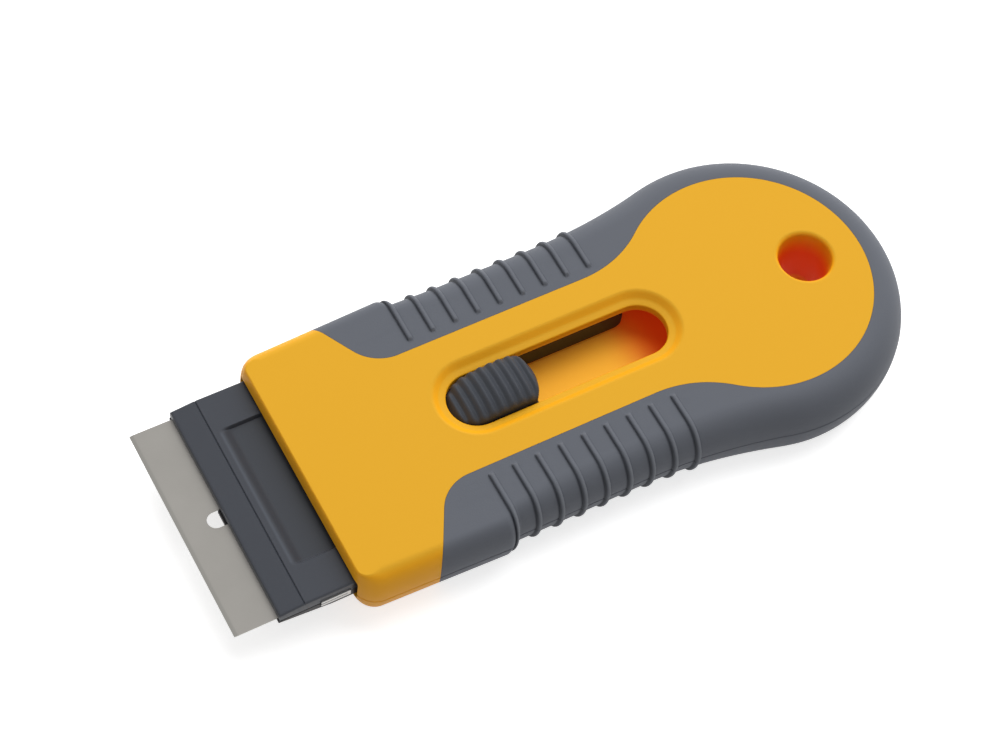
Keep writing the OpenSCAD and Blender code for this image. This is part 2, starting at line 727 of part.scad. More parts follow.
// Coil spring under the button, as one unbroken wire
ring_steps = 10;
wire_sides = 6;
module button_spring() {
    rings = ring_steps * spring_turns;
    low_z = well_top_z + wire_d / 2;
    rise = spring_top_z - well_top_z - wire_d;
    points = [for (i = [0 : rings], j = [0 : wire_sides - 1])
        let (turn = 360 * i / ring_steps, a = 360 * j / wire_sides, r = spring_r + wire_d / 2 * cos(a))
        [spring_x + r * cos(turn), r * sin(turn), low_z + rise * i / rings + wire_d / 2 * sin(a)]];
    color(steel) polyhedron(points, concat(
        [[for (j = [wire_sides - 1 : -1 : 0]) j]],
        [[for (j = [0 : wire_sides - 1]) rings * wire_sides + j]],
        [for (i = [0 : rings - 1], j = [0 : wire_sides - 1], half = [0, 1])
            let (a = i * wire_sides + j, b = i * wire_sides + (j + 1) % wire_sides)
            half == 0 ? [a, b + wire_sides, a + wire_sides] : [a, b, b + wire_sides]]
    ), convexity = 10);
}

// Self-tapping screw with a cross recess, put in from the underside
module housing_screw(place) {
    cross_reach = screw_head_r * cross_reach_share;
    cross_depth = screw_head_h * cross_depth_share;
    color(steel) translate([place[0], place[1], 0]) difference() {
        union() {
            translate([0, 0, screw_recess]) cylinder(h = screw_head_h, r = screw_head_r);
            translate([0, 0, screw_seat_z]) cylinder(h = screw_len - screw_r, r = screw_r);
            translate([0, 0, screw_tip_z - screw_r]) cylinder(h = screw_r, r1 = screw_r, r2 = screw_r * point_share);
        }
        for (a = [0, 90])
            rotate([0, 0, a]) translate([-cross_reach, -cross_w / 2, screw_recess - overrun])
                cube([2 * cross_reach, cross_w, cross_depth + overrun]);
    }
}

upper_shell();
lower_shell();
upper_grip();
lower_grip();
blade_carrier();
carrier_cover();
blade();
blade_spine();
thumb_button();
button_spring();
for (i = [0 : len(screw_places) - 1])
    housing_screw(screw_places[i]);
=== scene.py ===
# %% [markdown]
# # A razor blade scraper
# The tool is a flat yellow handle in two halves with soft grey grips, and a blade carriage that a thumb
# button slides out of its front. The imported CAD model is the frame: it says where each piece is and how it
# moves. This lesson builds a finer skin for each piece, in the same place, and lets it ride on its body.

import json
import math

import bmesh
import bpy
import numpy as np
from mathutils import Matrix, Vector


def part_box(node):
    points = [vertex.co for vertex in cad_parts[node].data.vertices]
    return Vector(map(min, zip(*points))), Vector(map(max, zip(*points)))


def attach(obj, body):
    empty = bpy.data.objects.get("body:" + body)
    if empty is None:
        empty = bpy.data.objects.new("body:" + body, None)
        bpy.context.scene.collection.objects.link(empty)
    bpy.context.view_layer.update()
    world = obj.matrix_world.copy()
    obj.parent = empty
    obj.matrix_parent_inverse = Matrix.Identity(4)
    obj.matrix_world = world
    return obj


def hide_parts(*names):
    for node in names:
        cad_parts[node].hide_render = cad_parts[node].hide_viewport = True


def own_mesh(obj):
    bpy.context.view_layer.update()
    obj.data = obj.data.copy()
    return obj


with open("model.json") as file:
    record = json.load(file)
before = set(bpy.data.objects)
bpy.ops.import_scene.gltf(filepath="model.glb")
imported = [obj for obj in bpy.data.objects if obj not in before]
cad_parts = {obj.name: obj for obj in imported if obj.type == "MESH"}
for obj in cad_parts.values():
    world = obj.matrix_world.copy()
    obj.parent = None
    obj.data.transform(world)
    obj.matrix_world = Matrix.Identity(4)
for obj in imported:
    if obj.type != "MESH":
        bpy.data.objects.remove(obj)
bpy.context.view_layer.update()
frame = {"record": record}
MM = 0.001

# %% [markdown]
# ## Places from the frame
# Lengths are written in millimetres, as a maker measures them, and turned into metres only when a mesh is
# made. The corners of the CAD nodes give the places that the pieces share, so the skin follows the frame.

# %% Read the places
def corners(node):
    low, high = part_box(node)
    return np.array(low) / MM, np.array(high) / MM


shell_low, shell_high = corners("upper_shell")
cover_low, cover_high = corners("carrier_cover")
carrier_low, carrier_high = corners("blade_carrier")
blade_low, blade_high = corners("blade")
spine_low, spine_high = corners("blade_spine")
button_low, button_high = corners("thumb_button")
spring_low, spring_high = corners("button_spring")
grip_low = corners("upper_grip")[0]

body_t = shell_high[2]
split_h = grip_low[2]
front_x = shell_low[0]
print("handle from", round(front_x, 2), "to", round(shell_high[0], 2), "joint at height", round(split_h, 2))

# %% [markdown]
# ## Meshes written one by one
# Every piece is a closed mesh that this script works out point by point. Most are lofts: rings of points
# joined by strips, with a flat face at each end. A mesh whose volume comes out negative is turned inside out,
# so it doesn't matter which way round a loft's rings run.

# %% Closed meshes
def new_piece(name, points, faces):
    mesh = bpy.data.meshes.new(name)
    mesh.from_pydata((np.asarray(points, dtype=float) * MM).tolist(), [], faces)
    shape = bmesh.new()
    shape.from_mesh(mesh)
    if shape.calc_volume(signed=True) < 0:
        bmesh.ops.reverse_faces(shape, faces=shape.faces)
    shape.to_mesh(mesh)
    shape.free()
    piece = bpy.data.objects.new(name, mesh)
    bpy.context.scene.collection.objects.link(piece)
    return piece


def loft(name, rings):
    rings = np.asarray(rings, dtype=float)
    levels, count = rings.shape[:2]
    faces = [tuple(range(count))[::-1], tuple(range((levels - 1) * count, levels * count))]
    for level in range(levels - 1):
        for i in range(count):
            a = level * count + i
            b = level * count + (i + 1) % count
            faces.append((a, b, b + count, a + count))
    return new_piece(name, rings.reshape(-1, 3), faces)


def block(name, grid_x, grid_y, top_z, bottom_z):
    """A block under a surface, which three grids of the same shape give. Its flat foot faces down."""
    rows, columns = grid_x.shape
    top = np.stack([grid_x, grid_y, top_z], axis=-1).reshape(-1, 3)
    rim = [i * columns for i in range(rows)]
    rim += [(rows - 1) * columns + j for j in range(1, columns)]
    rim += [i * columns + columns - 1 for i in range(rows - 2, -1, -1)]
    rim += [j for j in range(columns - 2, 0, -1)]
    foot = top[rim].copy()
    foot[:, 2] = bottom_z
    faces = []
    for i in range(rows - 1):
        for j in range(columns - 1):
            a = i * columns + j
            faces.append((a, a + columns, a + columns + 1, a + 1))
    base = rows * columns
    for k in range(len(rim)):
        n = (k + 1) % len(rim)
        faces.append((rim[n], rim[k], base + k, base + n))
    faces.append(tuple(base + k for k in reversed(range(len(rim)))))
    return new_piece(name, np.vstack([top, foot]), faces)


# %% [markdown]
# ## Prisms with soft edges
# Moulded plastic has no knife edges. A prism here is an outline with rounded corners, drawn along one axis,
# and its two ends draw in by a quarter circle. A Bevel modifier could do the same, but it leaves odd corners
# where pieces are joined later.

# %% Outlines and prisms
arc_limit_share = 0.45
soft_edge_share = 0.8


def rounded(outline, radius, steps=4):
    """The outline with each corner turned into an arc, which takes less than half of either side."""
    points = np.asarray(outline, dtype=float)
    result = []
    for k in range(len(points)):
        here = points[k]
        back = points[k - 1] - here
        ahead = points[(k + 1) % len(points)] - here
        back_len = np.linalg.norm(back)
        ahead_len = np.linalg.norm(ahead)
        back /= back_len
        ahead /= ahead_len
        half_turn = 0.5 * math.acos(float(np.clip(back @ ahead, -1, 1)))
        run = min(radius / math.tan(half_turn), arc_limit_share * back_len, arc_limit_share * ahead_len)
        real_r = run * math.tan(half_turn)
        centre = here + (back + ahead) / np.linalg.norm(back + ahead) * real_r / math.sin(half_turn)
        start = here + back * run - centre
        end = here + ahead * run - centre
        sweep = math.acos(float(np.clip(start @ end / real_r ** 2, -1, 1)))
        for i in range(steps + 1):
            t = i / steps
            spoke = (math.sin((1 - t) * sweep) * start + math.sin(t * sweep) * end) / math.sin(sweep)
            result.append(centre + spoke)
    return np.array(result)


def drawn_in(outline, distance):
    """The outline moved inwards by a distance."""
    points = np.asarray(outline, dtype=float)
    ahead = np.roll(points, -1, axis=0) - points
    ahead /= np.linalg.norm(ahead, axis=1, keepdims=True)
    normals = np.stack([ahead[:, 1], -ahead[:, 0]], axis=1)
    x, y = points[:, 0], points[:, 1]
    if np.sum(x * np.roll(y, -1) - np.roll(x, -1) * y) < 0:
        normals = -normals
    before = np.roll(normals, 1, axis=0)
    share = 1 + np.sum(normals * before, axis=1, keepdims=True)
    return points - distance * (normals + before) / share


AXES = {"x": (2, 0, 1), "y": (0, 2, 1), "z": (0, 1, 2)}


def prism(name, outline, low, high, axis="z", edge=0.0, steps=3):
    """An outline drawn along an axis. Along x it is given as (y, z), along y as (x, z), along z as (x, y)."""
    if edge > 0:
        turns = [math.pi / 2 * i / steps for i in range(steps + 1)]
        cuts = [(low + edge * (1 - math.sin(a)), edge * (1 - math.cos(a))) for a in turns[::-1]]
        cuts += [(high - edge * (1 - math.sin(a)), edge * (1 - math.cos(a))) for a in turns]
    else:
        cuts = [(low, 0.0), (high, 0.0)]
    order = AXES[axis]
    rings = []
    for place, inset in cuts:
        flat = drawn_in(outline, inset)
        ring = np.column_stack([flat, np.full(len(flat), place)])
        rings.append(ring[:, list(order)])
    return loft(name, rings)


def rectangle(low_a, low_b, high_a, high_b):
    return [(low_a, low_b), (high_a, low_b), (high_a, high_b), (low_a, high_b)]


def soft_box(name, low, high, radius=0.25):
    outline = rounded(rectangle(low[0], low[1], high[0], high[1]), radius)
    return prism(name, outline, low[2], high[2], "z", edge=soft_edge_share * radius)


def circle(centre_x, centre_y, radius, count=48):
    turns = np.arange(count) * 2 * math.pi / count
    return np.column_stack([centre_x + radius * np.cos(turns), centre_y + radius * np.sin(turns)])


def stadium(from_x, to_x, radius, grow=0.0, steps=24):
    """A slot's outline: two half circles joined by straight sides, grown all round."""
    turns = np.linspace(-math.pi / 2, math.pi / 2, steps + 1)
    reach_x = (radius + grow) * np.cos(turns)
    reach_y = (radius + grow) * np.sin(turns)
    far = np.column_stack([to_x - radius + reach_x, reach_y])
    near = np.column_stack([from_x + radius - reach_x, -reach_y])
    return np.vstack([far, near])


def stacked(name, levels):
    """A loft of flat outlines, each with its own height."""
    return loft(name, [np.column_stack([flat, np.full(len(flat), z)]) for flat, z in levels])


# %% [markdown]
# ## Joining and cutting
# Closed pieces are joined and cut with the Boolean modifier. Its Manifold solver is exact enough for dense
# meshes and takes a fraction of a second, but a piece with one face turned inwards comes back unchanged. The
# result is read back as plain geometry at once, so no modifier is left on a piece.

# %% Booleans and clean shading
def baked(piece):
    """Turns the piece's modifiers into its mesh."""
    graph = bpy.context.evaluated_depsgraph_get()
    changed = piece.evaluated_get(graph)
    mesh = bpy.data.meshes.new_from_object(changed, preserve_all_data_layers=True, depsgraph=graph)
    old = piece.data
    piece.modifiers.clear()
    piece.data = mesh
    bpy.data.meshes.remove(old)


def boolean(piece, tool, operation):
    change = piece.modifiers.new("change", "BOOLEAN")
    change.operation = operation
    change.solver = "MANIFOLD"
    change.object = tool
    baked(piece)
    old = tool.data
    bpy.data.objects.remove(tool)
    bpy.data.meshes.remove(old)


def add(piece, *tools):
    for tool in tools:
        boolean(piece, tool, "UNION")


def cut(piece, *tools):
    for tool in tools:
        boolean(piece, tool, "DIFFERENCE")


def keep(piece, tool):
    boolean(piece, tool, "INTERSECT")


def smooth_shading(piece, sharp_angle=34):
    """Smooth faces, sharp edges where the surface turns hard, and flat faces that stay flat."""
    piece.data.shade_smooth()
    piece.data.set_sharp_from_angle(angle=math.radians(sharp_angle))
    weights = piece.modifiers.new("weights", "WEIGHTED_NORMAL")
    weights.keep_sharp = True
    baked(piece)


# %% [markdown]
# ## Finishes
# A finish is a Principled shader with a little grain in its normal. Shader maths is easier to read as
# Python, so one small class wraps a socket and turns + - * into Math nodes. Another makes any node.

# %% Shader helpers
class Signal:
    """A shader socket that adds and multiplies like a number."""

    def __init__(self, finish, socket):
        self.finish = finish
        self.socket = socket

    def math(self, operation, first, second):
        return self.finish.node("ShaderNodeMath", {"operation": operation}, {0: first, 1: second})

    def __add__(self, other):
        return self.math("ADD", self, other)

    def __radd__(self, other):
        return self.math("ADD", other, self)

    def __sub__(self, other):
        return self.math("SUBTRACT", self, other)

    def __rsub__(self, other):
        return self.math("SUBTRACT", other, self)

    def __mul__(self, other):
        return self.math("MULTIPLY", self, other)

    def __rmul__(self, other):
        return self.math("MULTIPLY", other, self)

    def beside(self, output):
        """Another output of the same node."""
        return Signal(self.finish, self.socket.node.outputs[output])

    def ramp(self, start, end):
        """Goes softly from 0 to 1 as this signal goes from start to end."""
        places = {"Value": self, "From Min": start, "From Max": end}
        return self.finish.node("ShaderNodeMapRange", {"interpolation_type": "SMOOTHSTEP"}, places)

    def band(self, start, full, fade, end):
        """Goes from 0 to 1 between start and full, and back to 0 between fade and end."""
        return self.ramp(start, full) * self.ramp(end, fade)


class Finish:
    """A material in the making."""

    def __init__(self, name, colour, roughness, metallic=0.0, shine=0.5):
        self.material = bpy.data.materials.new(name)
        self.material.use_nodes = True
        self.tree = self.material.node_tree
        self.shader = self.tree.nodes["Principled BSDF"]
        self.set("Base Color", tint(colour))
        self.set("Roughness", roughness)
        self.set("Metallic", metallic)
        self.set("Specular IOR Level", shine)
        self.place = self.node("ShaderNodeTexCoord", output="Object")

    def node(self, kind, settings=None, values=None, output=0):
        made = self.tree.nodes.new(kind)
        for key, value in (settings or {}).items():
            setattr(made, key, value)
        for key, value in (values or {}).items():
            self.feed(made.inputs[key], value)
        return Signal(self, made.outputs[output])

    def feed(self, socket, value):
        if isinstance(value, Signal):
            self.tree.links.new(value.socket, socket)
        else:
            socket.default_value = value

    def set(self, name, value):
        self.feed(self.shader.inputs[name], value)

    def axes(self):
        """The place on the piece as three signals, in metres."""
        x = self.node("ShaderNodeSeparateXYZ", None, {0: self.place})
        return x, x.beside("Y"), x.beside("Z")

    def blend(self, share, first, second):
        """A colour that goes from the first to the second as share goes from 0 to 1."""
        # The Mix node's colours are its inputs 6 and 7
        return self.node("ShaderNodeMix", {"data_type": "RGBA"}, {0: share, 6: first, 7: second}, output=2)

    def noise(self, size, detail=2.0, stretch=(1.0, 1.0, 1.0)):
        """Noise whose blobs are about that many millimetres across."""
        where = self.node("ShaderNodeMapping", None, {"Vector": self.place, "Scale": stretch})
        values = {"Vector": where, "Scale": 1 / (size * MM), "Detail": detail}
        return self.node("ShaderNodeTexNoise", None, values)

    def grain(self, height, depth):
        """Bump from a height signal, with its full depth in millimetres."""
        self.set("Normal", self.node("ShaderNodeBump", None, {"Height": height, "Distance": depth * MM}))


def tint(code):
    """A web colour as linear numbers, by the usual curve of a screen."""
    parts = [int(code[i:i + 2], 16) / 255 for i in (1, 3, 5)]
    linear = [p / 12.92 if p <= 0.04045 else ((p + 0.055) / 1.055) ** 2.4 for p in parts]
    return (*linear, 1.0)


# %% [markdown]
# ## Plastics
# All the moulded pieces are matt, with a very fine grain. One function makes such a finish from its colour,
# roughness, grain and shine, so that the pieces differ only in their numbers.

# %% Finishes of the plastics
def plastic(name, colour, roughness, grain_size, grain_depth, shine):
    finish = Finish(name, colour, roughness, shine=shine)
    finish.grain(finish.noise(grain_size), grain_depth)
    return finish


yellow_code = "#d59e23"
grip_code = "#5b5e65"
cover_code = "#363940"
yellow_plastic = plastic("yellow_plastic", yellow_code, 0.5, grain_size=0.35, grain_depth=0.01, shine=0.25)
soft_grip = plastic("soft_grip_rubber", grip_code, 0.6, grain_size=0.3, grain_depth=0.015, shine=0.25)
black_plastic = plastic("black_plastic", "#1c1a1b", 0.42, grain_size=0.4, grain_depth=0.006, shine=0.3)
cover_plastic = plastic("cover_plastic", cover_code, 0.36, grain_size=0.4, grain_depth=0.004, shine=0.35)
button_plastic = plastic("button_plastic", "#383b41", 0.5, grain_size=0.4, grain_depth=0.006, shine=0.35)

# %% [markdown]
# ## Painted glow inside the yellow plastic
# Daylight soaks through the thin walls and comes out red, so the slot's end and the hanging hole look deep
# orange, and steep faces a little more orange than the flat top. True scattering takes long and turns thin
# edges green, so this light is painted instead: these places get a painted redder colour, the slot a painted
# lighter one, and the inner walls a painted glow of their own. Each place is a mask that goes from 0 to 1
# between two distances.

# %% Masks of the hole and the slot
def square(length):
    """A length in millimetres as square metres, to compare with a squared signal."""
    return (length * MM) ** 2


bore_r = 5.1
bore_fade = 0.7
bore_dark_z = 11.8
bore_lit_z = 7.0
slot_mask_half_w = 9.0
slot_mask_fade = 1.0
slot_dark_z = 10.1
slot_lit_z = 8.9
slot_mask_x = (-67.0, -65.0, -13.0, -9.0)
slot_end_start_x = -37.0
slot_end_full_x = -26.0
foot_dark_z = 1.0
foot_lit_z = 2.0
axis_x, axis_y, axis_z = yellow_plastic.axes()
above_foot = axis_z.ramp(foot_dark_z * MM, foot_lit_z * MM)
in_bore = (axis_x * axis_x + axis_y * axis_y).ramp(square(bore_r), square(bore_r - bore_fade))
in_bore = in_bore * axis_z.ramp(bore_dark_z * MM, bore_lit_z * MM) * above_foot
in_slot = (axis_y * axis_y).ramp(square(slot_mask_half_w), square(slot_mask_half_w - slot_mask_fade))
in_slot = in_slot * axis_z.ramp(slot_dark_z * MM, slot_lit_z * MM) * above_foot
in_slot = in_slot * axis_x.band(*(x * MM for x in slot_mask_x))
slot_end = in_slot * axis_x.ramp(slot_end_start_x * MM, slot_end_full_x * MM)

# %% Colours of the yellow plastic
# The upright part of a face's direction, squared, is 1 on the flat top and 0 on a wall
steep_start = 0.97
steep_full = 0.45
bore_glow = 0.75
slot_glow = 0.35
slot_end_glow = 0.75
# Painted light: steep faces painted more orange, the slot painted lighter, the hole and the slot's end
# painted red, with a painted glow on their walls
painted_orange_side = tint("#eca414")
painted_lit_floor = tint("#f6b432")
painted_red_depth = tint("#cc5006")
full_glow = tint("#741b03")
no_glow = tint("#000000")
surface_normal = yellow_plastic.node("ShaderNodeNewGeometry", output="Normal")
upright = yellow_plastic.node("ShaderNodeSeparateXYZ", None, {0: surface_normal}).beside("Z")
steep = (upright * upright).ramp(steep_start, steep_full)
outside = yellow_plastic.blend(steep, tint(yellow_code), painted_orange_side)
outside = yellow_plastic.blend(in_slot, outside, painted_lit_floor)
glow = bore_glow * in_bore + slot_glow * in_slot + slot_end_glow * slot_end
yellow_plastic.set("Base Color", yellow_plastic.blend(in_bore + slot_end, outside, painted_red_depth))
yellow_plastic.set("Emission Color", yellow_plastic.blend(glow, no_glow, full_glow))
yellow_plastic.set("Emission Strength", 1.0)

# %% [markdown]
# ## Steel
# Rolled steel has fine lines along the sheet. They are noise that is drawn out twentyfold one way. The blade
# also has faint spots, and its ground edge is a little darker than its flat.

# %% Finishes of the metals
line_size = 0.12
line_depth = 0.002
line_squeeze = 0.05


def sheet_metal(name, colour, roughness, along):
    finish = Finish(name, colour, roughness, metallic=1.0)
    stretch = (1.0, line_squeeze, 1.0) if along == "y" else (line_squeeze, 1.0, 1.0)
    finish.grain(finish.noise(line_size, stretch=stretch), line_depth)
    return finish


ground_edge_w = 0.6
ground_edge_fade = 0.15
spot_size = 6.0
spot_detail = 3.0
blade_metal = sheet_metal("blade_steel_sheet", "#a3a09b", 0.45, "y")
spots = blade_metal.noise(spot_size, detail=spot_detail)
ground_end_x = blade_low[0] + ground_edge_w
along_cut = blade_metal.axes()[0]
edge_share = along_cut.ramp((ground_end_x + ground_edge_fade) * MM, (ground_end_x - ground_edge_fade) * MM)
flat_colour = blade_metal.blend(spots, tint("#a09d98"), tint("#a9a6a1"))
blade_metal.set("Base Color", blade_metal.blend(edge_share, flat_colour, tint("#989691")))
spine_metal = sheet_metal("spine_steel_sheet", "#bbbab8", 0.28, "y")
spring_metal = sheet_metal("spring_wire", "#a8a8a6", 0.3, "x")
screw_metal = sheet_metal("screw_zinc", "#9c9c9a", 0.35, "x")

# %% [markdown]
# ## Dressing the frame
# A finished piece takes a material and rides on the body of the CAD node it stands for. The frame's record
# says which body, so nothing is written twice.

# %% Dress a node
node_body = {}
for body, nodes in frame["record"]["behaviour"]["bodies"].items():
    for node in nodes:
        node_body[node] = body


def dress(piece, node, finish, sharp_angle=34):
    smooth_shading(piece, sharp_angle)
    piece.data.materials.clear()
    piece.data.materials.append(finish.material)
    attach(piece, node_body[node])
    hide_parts(node)
    print(piece.name, "stands for", node, "with", len(piece.data.polygons), "faces")


# %% [markdown]
# ## The handle's form
# Seen from above, the handle has two round front corners, a flared front part, a waist and a round head.
# Its side is one rounded section all along. So each point of the plan has a place, a direction inwards and
# two shares: how much it belongs to the head, and how much to the side rather than the front face. The
# section then draws in from the widest outline, which gives every ring of the loft.

# %% Plan of the handle
flare_len = 25.1
flare_ramp = 2.7
front_corner_r = 4.0
front_side_wall = 2.95
flare_swell = 0.75
waist_step = 1.45
head_swell = 4.0
head_offset = 11.0
head_blend_r = 100.0
slide_gap = 0.3
corner_steps = 12
head_steps = 56
flank_step = 1.2
ramp_step = 0.3

pocket_half_w = max(spine_high[1], cover_high[1]) + slide_gap
front_half_w = pocket_half_w + front_side_wall
flare_half_w = front_half_w + flare_swell
waist_half_w = flare_half_w - waist_step
head_r = waist_half_w + head_swell
head_x = -head_offset
flare_end_x = front_x + flare_len
waist_x = flare_end_x + flare_ramp
flank_start_x = front_x + front_corner_r


def mix(a, b, t):
    return a + (b - a) * t


def smooth(t):
    c = np.clip(t, 0, 1)
    return c * c * (3 - 2 * c)


def blend_start(line_y, circle_x, circle_r, blend_r):
    return circle_x - math.sqrt((circle_r - line_y) * (circle_r + line_y + 2 * blend_r))


def blend_angle(line_y, circle_x, circle_r, blend_r):
    run = circle_x - blend_start(line_y, circle_x, circle_r, blend_r)
    return math.asin(run / (circle_r + blend_r))


head_blend_x = blend_start(waist_half_w, head_x, head_r, head_blend_r)
head_angle = blend_angle(waist_half_w, head_x, head_r, head_blend_r)
head_start_x = head_x - head_r * math.sin(head_angle)


def flank_y(x):
    if x < flare_end_x:
        return mix(front_half_w, flare_half_w, (x - flank_start_x) / (flare_end_x - flank_start_x))
    if x < waist_x:
        return mix(flare_half_w, waist_half_w, float(smooth((x - flare_end_x) / flare_ramp)))
    if x < head_blend_x:
        return waist_half_w
    return waist_half_w + head_blend_r - math.sqrt(head_blend_r ** 2 - (x - head_blend_x) ** 2)


def head_share(x):
    return float(smooth((x - head_blend_x) / (head_x - head_blend_x)))


def handle_plan(steps_x):
    """The plan as rows of x, y, direction out x, direction out y, head share, side share."""
    rows = []
    for a in np.linspace(0, math.pi / 2, corner_steps + 1):
        x = flank_start_x - front_corner_r * math.cos(a)
        y = front_half_w - front_corner_r + front_corner_r * math.sin(a)
        rows.append((x, y, -math.cos(a), math.sin(a), 0.0, math.sin(a) ** 2))
    for x in steps_x:
        rows.append((x, flank_y(x), 0.0, 1.0, head_share(x), 1.0))
    for a in np.linspace(math.pi / 2 + head_angle, 0, head_steps + 1)[1:]:
        x = head_x + head_r * math.cos(a)
        rows.append((x, head_r * math.sin(a), math.cos(a), math.sin(a), head_share(x), 1.0))
    half = np.array(rows)
    other = half[-2::-1] * np.array([1, -1, 1, -1, 1, 1])
    return np.vstack([half, other])


def flank_steps(*stops):
    """Places along the flank: each stop is where a stretch ends and how far apart its places are."""
    places = []
    start = flank_start_x
    for end, step in stops:
        count = max(1, round((end - start) / step))
        places += [start + (end - start) * (i + 1) / count for i in range(count)]
        start = end
    return places


smooth_stops = (flare_end_x, flank_step), (waist_x, ramp_step), (head_start_x, flank_step)
smooth_plan = handle_plan(flank_steps(*smooth_stops))
print("plan:", len(smooth_plan), "points,", round(2 * head_r, 2), "mm across the head")

# %% [markdown]
# ## The handle's section
# The side is widest a little below or above the middle and curves in to the flat top and underside. How far
# it curves in differs between the front part, the waist and the head, so the rounding is blended along the
# plan. A bevel could not follow such a change. The rings are made from the joint outwards, with a tiny
# chamfer at the joint that shows as a fine groove.

# %% Section of the handle
top_round = 4.4
flare_top_round = 3.1
head_top_round = 5.5
under_round = 4.4
head_under_round = 2.4
front_round = 0.8
widest_h = 7.0
head_widest_h = 5.4
seam_r = 0.16
section_steps = 22
inner_runs = [0.5, 1.1, 1.8, 2.5, 3.2, 3.8] + [4.2 + 0.22 * i for i in range(16)]
corner_share = 0.25
corner_spare = 0.2
corner_len = 10.0
waist_len = 12.0
spread_start = 4.0
spread_len = 8.0
seam_clear_share = 1.5


def surface_inset(z, plan, grow=0.0):
    """How far the surface lies inside the widest outline at a height. A front corner never draws in further
    than its own radius, or the ring would cross itself."""
    head, side = plan[:, 4], plan[:, 5]
    middle = mix(widest_h, head_widest_h, head)
    above = z > middle
    waist_share = smooth((plan[:, 0] - flare_end_x) / waist_len)
    flank_round = mix(mix(flare_top_round, top_round, waist_share), head_top_round, head)
    width = np.where(above, mix(front_round, flank_round, side), mix(under_round, head_under_round, head))
    share = np.where(above, (z - middle) / (body_t + grow - middle), (middle - z) / (middle + grow))
    inset = width * (1 - np.sqrt(np.clip(1 - share * share, 0, 1))) - grow
    behind_corner = smooth((plan[:, 0] - flank_start_x) / corner_len)
    return np.minimum(inset, mix(front_corner_r - corner_spare, 2 * front_corner_r, behind_corner))


def form_rings(plan, high, grow=0.0, tail=0.0, flat_top=False):
    """Rings from the joint between the shells out to the top or the underside. A tail runs on past the
    joint, and a flat top gets rings of its own, for the ribs."""
    way = 1 if high else -1
    end_z = body_t + grow if high else -grow
    at_split = surface_inset(split_h, plan, grow)
    if tail:
        cuts = [(split_h - way * tail, at_split)]
    else:
        cuts = [(split_h, at_split + seam_r), (split_h + way * seam_r, at_split)]
    for i in range(1, section_steps + 1):
        z = mix(split_h, end_z, math.sin(math.pi / 2 * i / section_steps))
        if abs(z - split_h) > seam_clear_share * seam_r:
            cuts.append((z, surface_inset(z, plan, grow)))
    if flat_top:
        spread = mix(corner_share, 1.0, smooth((plan[:, 0] - flank_start_x - spread_start) / spread_len))
        last = cuts[-1][1]
        cuts += [(end_z, last + run * spread) for run in inner_runs]
    rings = []
    for z, inset in cuts:
        rings.append(np.column_stack([plan[:, 0] - plan[:, 2] * inset, plan[:, 1] - plan[:, 3] * inset,
                                      np.full(len(plan), z)]))
    return np.array(rings)


# %% [markdown]
# ## The bare panel between the grips
# The yellow shows on the front part, along a strip in the middle and on a round panel at the head. One
# outline, drawn straight down through the handle, parts yellow from grey on the top and on the underside.

# %% Plan of the panel
grip_t = 1.5
grip_band = 10.6
head_grip_band = 6.0
panel_offset = 10.75
panel_blend_r = 20.0
grip_setback = 13.6
grip_lean = math.radians(29)
grip_corner_r = 7.0
joint_gap = 0.02
panel_arc_steps = 16
panel_head_steps = 48
panel_reach = 5.0

panel_half_w = waist_half_w - grip_band
panel_r = head_r - head_grip_band
panel_x = -panel_offset
far_out = 2 * head_r
panel_corner_x = front_x + grip_setback + (waist_half_w - panel_half_w) * math.tan(grip_lean)
panel_blend_x = blend_start(panel_half_w, panel_x, panel_r, panel_blend_r)
panel_angle = blend_angle(panel_half_w, panel_x, panel_r, panel_blend_r)
corner_run = grip_corner_r * math.tan((math.pi / 2 - grip_lean) / 2)


def panel_plan():
    rows = [(front_x - far_out, far_out),
            (panel_corner_x - (far_out - panel_half_w) * math.tan(grip_lean), far_out)]
    for a in np.linspace(math.pi / 2 - grip_lean, 0, panel_arc_steps + 1):
        rows.append((panel_corner_x + corner_run - grip_corner_r * math.sin(a),
                     panel_half_w + grip_corner_r - grip_corner_r * math.cos(a)))
    for a in np.linspace(0, panel_angle, panel_arc_steps + 1):
        rows.append((panel_blend_x + panel_blend_r * math.sin(a),
                     panel_half_w + panel_blend_r * (1 - math.cos(a))))
    for a in np.linspace(math.pi / 2 + panel_angle, 0, panel_head_steps + 1)[1:]:
        rows.append((panel_x + panel_r * math.cos(a), panel_r * math.sin(a)))
    half = np.array(rows)
    return np.vstack([half, half[-2::-1] * np.array([1, -1])])


def panel_prism(grow):
    return prism("panel", drawn_in(panel_plan(), -grow), -panel_reach, body_t + panel_reach)


# %% [markdown]
# ## The two shells
# Each half of the handle is the full form at the bare panel, a form that is smaller by the grip's thickness
# under the grip, and a hollow inside. The slot, the mouth and the hanging hole are cut with lofts whose
# rings grow towards the outside, so their edges come out round.

# %% Hollow, mouth, slot and hole
top_wall = 2.6
floor_wall = 2.4
side_wall = 4.4
lip_wall = 1.8
mouth_round = 0.9
hang_r = 4.5
hang_wall = 1.9
hole_round = 0.8
hole_low_round = 0.25
hole_draft = 1.3
holder_wall = 1.6
base_t = 1.7
slot_setback = 26.6
slot_half_w = 4.75
travel = 21.5
slot_spare = 2.5
button_gap = 0.35
past = 1.0
hollow_corner_r = 1.0
mouth_corner_r = 0.4
fine_sides = 96
quarter_turn = np.linspace(0, math.pi / 2, 9)

ceiling_z = body_t - top_wall
blade_under_z = blade_low[2]
blade_top_z = blade_high[2]
base_under_z = blade_under_z - base_t
pocket_z = base_under_z - slide_gap
holder_back_x = spine_high[0] + holder_wall
slot_front_x = front_x + slot_setback
slot_rear_x = button_high[0] + travel + slot_spare + button_gap


